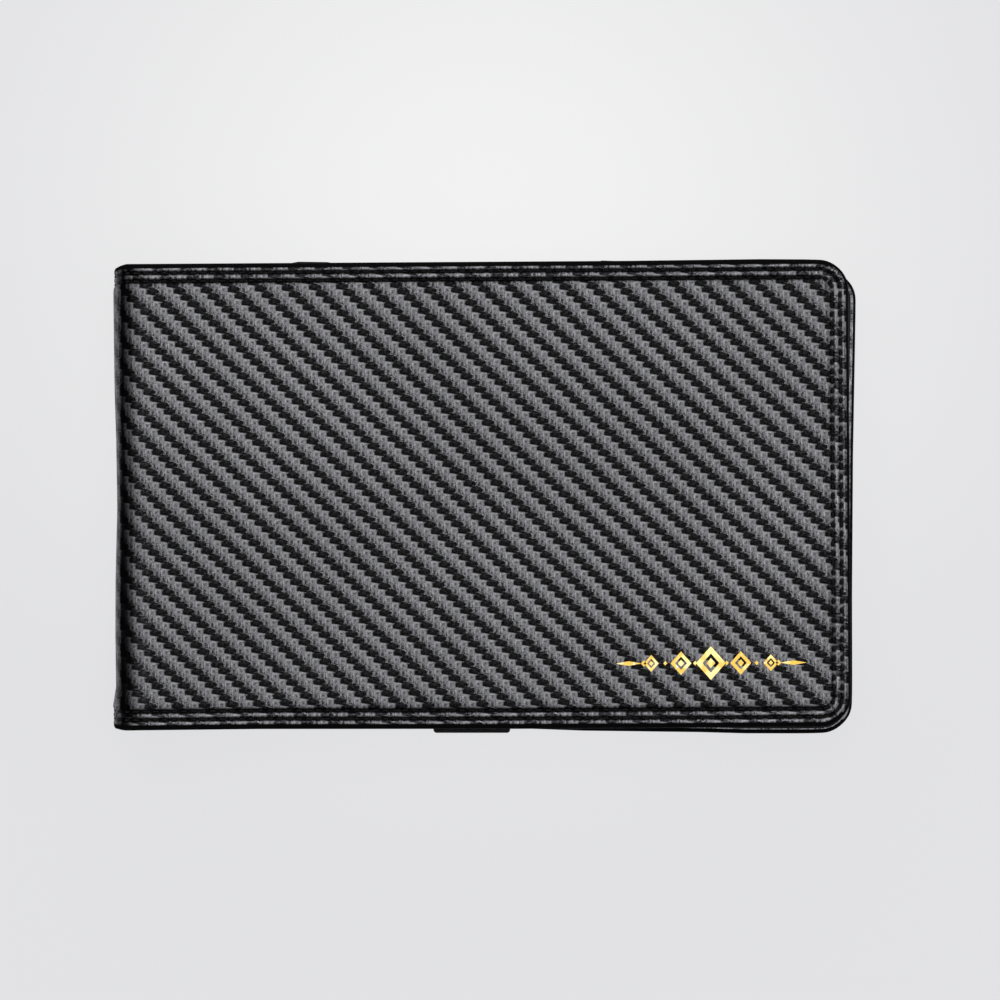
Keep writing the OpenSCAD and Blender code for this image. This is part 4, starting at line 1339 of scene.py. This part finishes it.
def rows_of(box, radii, kinds, lowest=-math.inf, highest=math.inf):
    """Stitch places on a panel: each stitched side, with the corner that joins two like sides."""
    block = CORNER_POINTS + SIDE_POINTS
    places = []
    for kind in [k for k in ("double", "single") if k in kinds]:
        all_round = all(k == kind for k in kinds)
        marks = np.repeat([k == kind for k in kinds], block)
        starts = [k for k in range(4) if kinds[k] == kind and kinds[k - 1] != kind] or [0]
        for d in STITCH_ROWS[kind]:
            ring_points = panel_ring(box, radii, d)
            for start in starts:
                order = np.roll(np.arange(4 * block), -start * block)
                run = order if all_round else order[CORNER_POINTS:np.argmin(marks[order])]
                places += walk(ring_points[run], PITCH)
    return [place for place in places if lowest < place[1] < highest]


print("stitches round a 9 mm square:", len(rows_of((0, 0, 9, 9), (1,) * 4, ("single",) * 4)))

# %% [markdown]
# One piece of thread holds the three card pockets, one the window panel and the slip pocket, and
# one each the outside pocket and the strap. Thread on a pocket lies in its pressed line.

# %% Sew the panels
UNDER_MOUTH, BELOW_TOP = 0.7, 0.6
POCKET_SINK, OUTSIDE_SINK, STRAP_SINK = -0.09, -0.21, -0.12  # how deep the thread lies


def sew_flat(name, body, runs):
    """Stitches on flat faces: runs holds (places, height of the face, way it looks, depth)."""
    beads = []
    for places, face_z, up, depth in runs:
        for place in places:
            x, y, h = lay_bead(*place)
            beads.append((np.column_stack([x, y, face_z + up * (h + depth)]), up > 0))
    piece = thread_mesh(name, beads)
    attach(piece, body)
    print(name, len(beads))


def mouth_of(node_name):
    return panels[node_name][0][3]


def pocket_run(node_name, up, above=None):
    """The run of one pocket's stitches, from above another pocket's mouth if it has one over it."""
    box, face_z = panels[node_name]
    lowest = mouth_of(above) + UNDER_MOUTH if above else -math.inf
    return rows_of(box, POCKET_RADII, POCKET_SIDES, lowest, box[3] - BELOW_TOP), face_z, up, POCKET_SINK


sew_flat("card_pocket_stitches", "front_cover", [
    pocket_run("front_pocket_3", -1), pocket_run("front_pocket_2", -1, "front_pocket_3"),
    pocket_run("front_pocket_1", -1, "front_pocket_2")])
window_run = pocket_run("id_window_frame", 1)
window_run[0].extend(walk(panel_ring(window, (WINDOW_R,) * 4, -STITCH_ROWS["single"][0]), PITCH))
slip_run = pocket_run("slip_pocket", 1, "id_window_frame")
sew_flat("window_panel_stitches", "rear_cover", [window_run, slip_run])
box, face_z = panels["quick_pocket"]
places = rows_of(box, OUTSIDE_RADII, OUTSIDE_SIDES, box[1] + BELOW_TOP)
sew_flat("outside_pocket_stitches", "rear_cover", [(places, face_z, -1, OUTSIDE_SINK)])
box, face_z = panels["pull_strap"]
places = rows_of(box, STRAP_RADII, STRAP_SIDES)
sew_flat("strap_stitches", frame["nodes"]["pull_strap"]["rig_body"], [(places, face_z, 1, STRAP_SINK)])

# %% [markdown]
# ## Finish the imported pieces
#
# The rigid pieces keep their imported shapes. A small bevel breaks their sharp corners, as folding,
# paring and tumbling do on the real ones, so their edges catch a line of light.

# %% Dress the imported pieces
FINISH = {  # material slot: (material, width of the bevel)
    "pocket_leather": (pocket_leather, 0.14),
    "strap_leather": (strap_leather, 0.12),
    "board": (grey_board, 0.08),
    "clear_film": (clear_film, 0.05),
    "polished_steel": (polished_steel, 0.1),
    "spring_steel": (spring_steel, 0.06),
    "carbon_leather": (patch_leather, 0.18),
    "lining": (lining_cloth, 0.05),
}
BEVEL_STEPS, SHARP = 3, math.radians(35)
dressed = []
for part in frame["record"]["subparts"]:
    solid = frame["nodes"][part["node"]]
    material, width = FINISH[part["material_slot"]]
    solid.data.materials.clear()
    solid.data.materials.append(material)
    if solid.hide_render:
        continue
    bevel = solid.modifiers.new("soft edges", "BEVEL")
    bevel.width = width * MM
    bevel.segments = BEVEL_STEPS
    bevel.limit_method = "ANGLE"
    bevel.angle_limit = SHARP
    dressed.append(part["node"])
print("dressed", len(dressed), "packed pieces")

# %% [markdown]
# ## The linings
#
# A thin woven lining covers the hems inside each cover and runs round the crease onto the spine,
# where the clip's base plate holds it. It is one sheet for each half, bent with the leather. In
# the crease the leather is pared thin, so the lining comes closer to the outside there.

# %% Cut a lining
LINING_IN, SHEET_T = 0.75, 0.2
SPINE_STEPS, COVER_STEPS, CURVE_STEPS, TALL_STEPS = 40, 50, 10, 40
BENT_END = plate_u + 2  # the sheet has its close steps up to here
LINING_DEPTH = ((spine_half - 0.4, spine_half + 1.4, plate_u - 1.2, plate_u + 1.4),
                (-2.0, -1.05, -1.05, -1.8))  # places along the leather, then depths


def lining_mesh(name, side):
    last, low_v, high_v = flat_reach(side) - LINING_IN, EXTENT[side][1] + LINING_IN, top_y - LINING_IN
    radius = corner_r - LINING_IN
    straight_end = last - radius
    us = np.concatenate([np.linspace(0, BENT_END, SPINE_STEPS),
                         np.linspace(BENT_END, straight_end, COVER_STEPS)[1:],
                         straight_end + radius * np.sin(np.linspace(0, math.pi / 2, CURVE_STEPS))[1:]])
    trim = radius - np.sqrt(np.maximum(radius ** 2 - np.maximum(us - straight_end, 0) ** 2, 0))
    u, share = np.meshgrid(us, np.linspace(0, 1, TALL_STEPS), indexing="ij")
    start, end = (low_v + trim)[:, None], (high_v - trim)[:, None]
    v, depth = start + (end - start) * share, np.interp(u, *LINING_DEPTH)
    sheets = [np.stack([u.ravel(), v.ravel(), (depth + k * SHEET_T).ravel()], -1) for k in (0, 1)]
    flat, size = np.concatenate(sheets), u.size
    index = np.arange(size).reshape(u.shape)
    faces = []
    for i in range(len(us) - 1):
        for j in range(TALL_STEPS - 1):
            cell = (index[i, j], index[i, j + 1], index[i + 1, j + 1], index[i + 1, j])
            faces += [cell, tuple(size + c for c in cell[::-1])]
    rim = [*index[:, 0], *index[-1, 1:], *index[-2::-1, -1], *index[0, -2:0:-1]]
    faces += [(b, a, a + size, b + size) for a, b in zip(rim, rim[1:] + rim[:1])]
    points = cover_point(side, flat[:, 0], flat[:, 1], flat[:, 2])
    if side < 0:
        faces = [face[::-1] for face in faces]
    pattern = pattern_place(side, flat[:, 0], points[:, 1])
    return add_mesh(name, points, faces, [lining_cloth], None, pattern)


print(f"lining {SHEET_T} mm thick, {LINING_IN} mm inside the edge")

# %% [markdown]
# Each lining replaces its solids and is laid round the crease like its cover's leather.

# %% Line both covers and the spine
for name, side, solids in (("front_inner_lining", 1, ("front_lining", "spine_lining")),
                           ("rear_inner_lining", -1, ("rear_lining",))):
    lining = lining_mesh(name, side)
    blend_like(lining)
    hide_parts(*solids)
    print(name, len(lining.data.vertices), "points")

# %% [markdown]
# The thread of the covers' two rows comes through to the inside. It shows on the lining only
# where no pocket covers it: above the pockets' mouths and between them and the crease.

# %% Sew through the linings
INNER_DEPTHS = (-1.7, -1.7)
PAST_CREASE, CLEAR = 1.8, 0.6
for name, side, node_name in (("front_lining_stitches", 1, "front_pocket_1"),
                              ("rear_lining_stitches", -1, "slip_pocket")):
    beyond = mouth_of(node_name) + CLEAR
    inner_edge = panels[node_name][0][0] - plate_x + plate_u - CLEAR
    places = [place for d in ROWS for place in row_places(side, d)
              if place[0] > plate_u + PAST_CREASE and (place[1] > beyond or place[0] < inner_edge)]
    thread = sew(name, side, places, INNER_DEPTHS, out=-1)
    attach(thread, "front_cover" if side > 0 else "rear_cover")
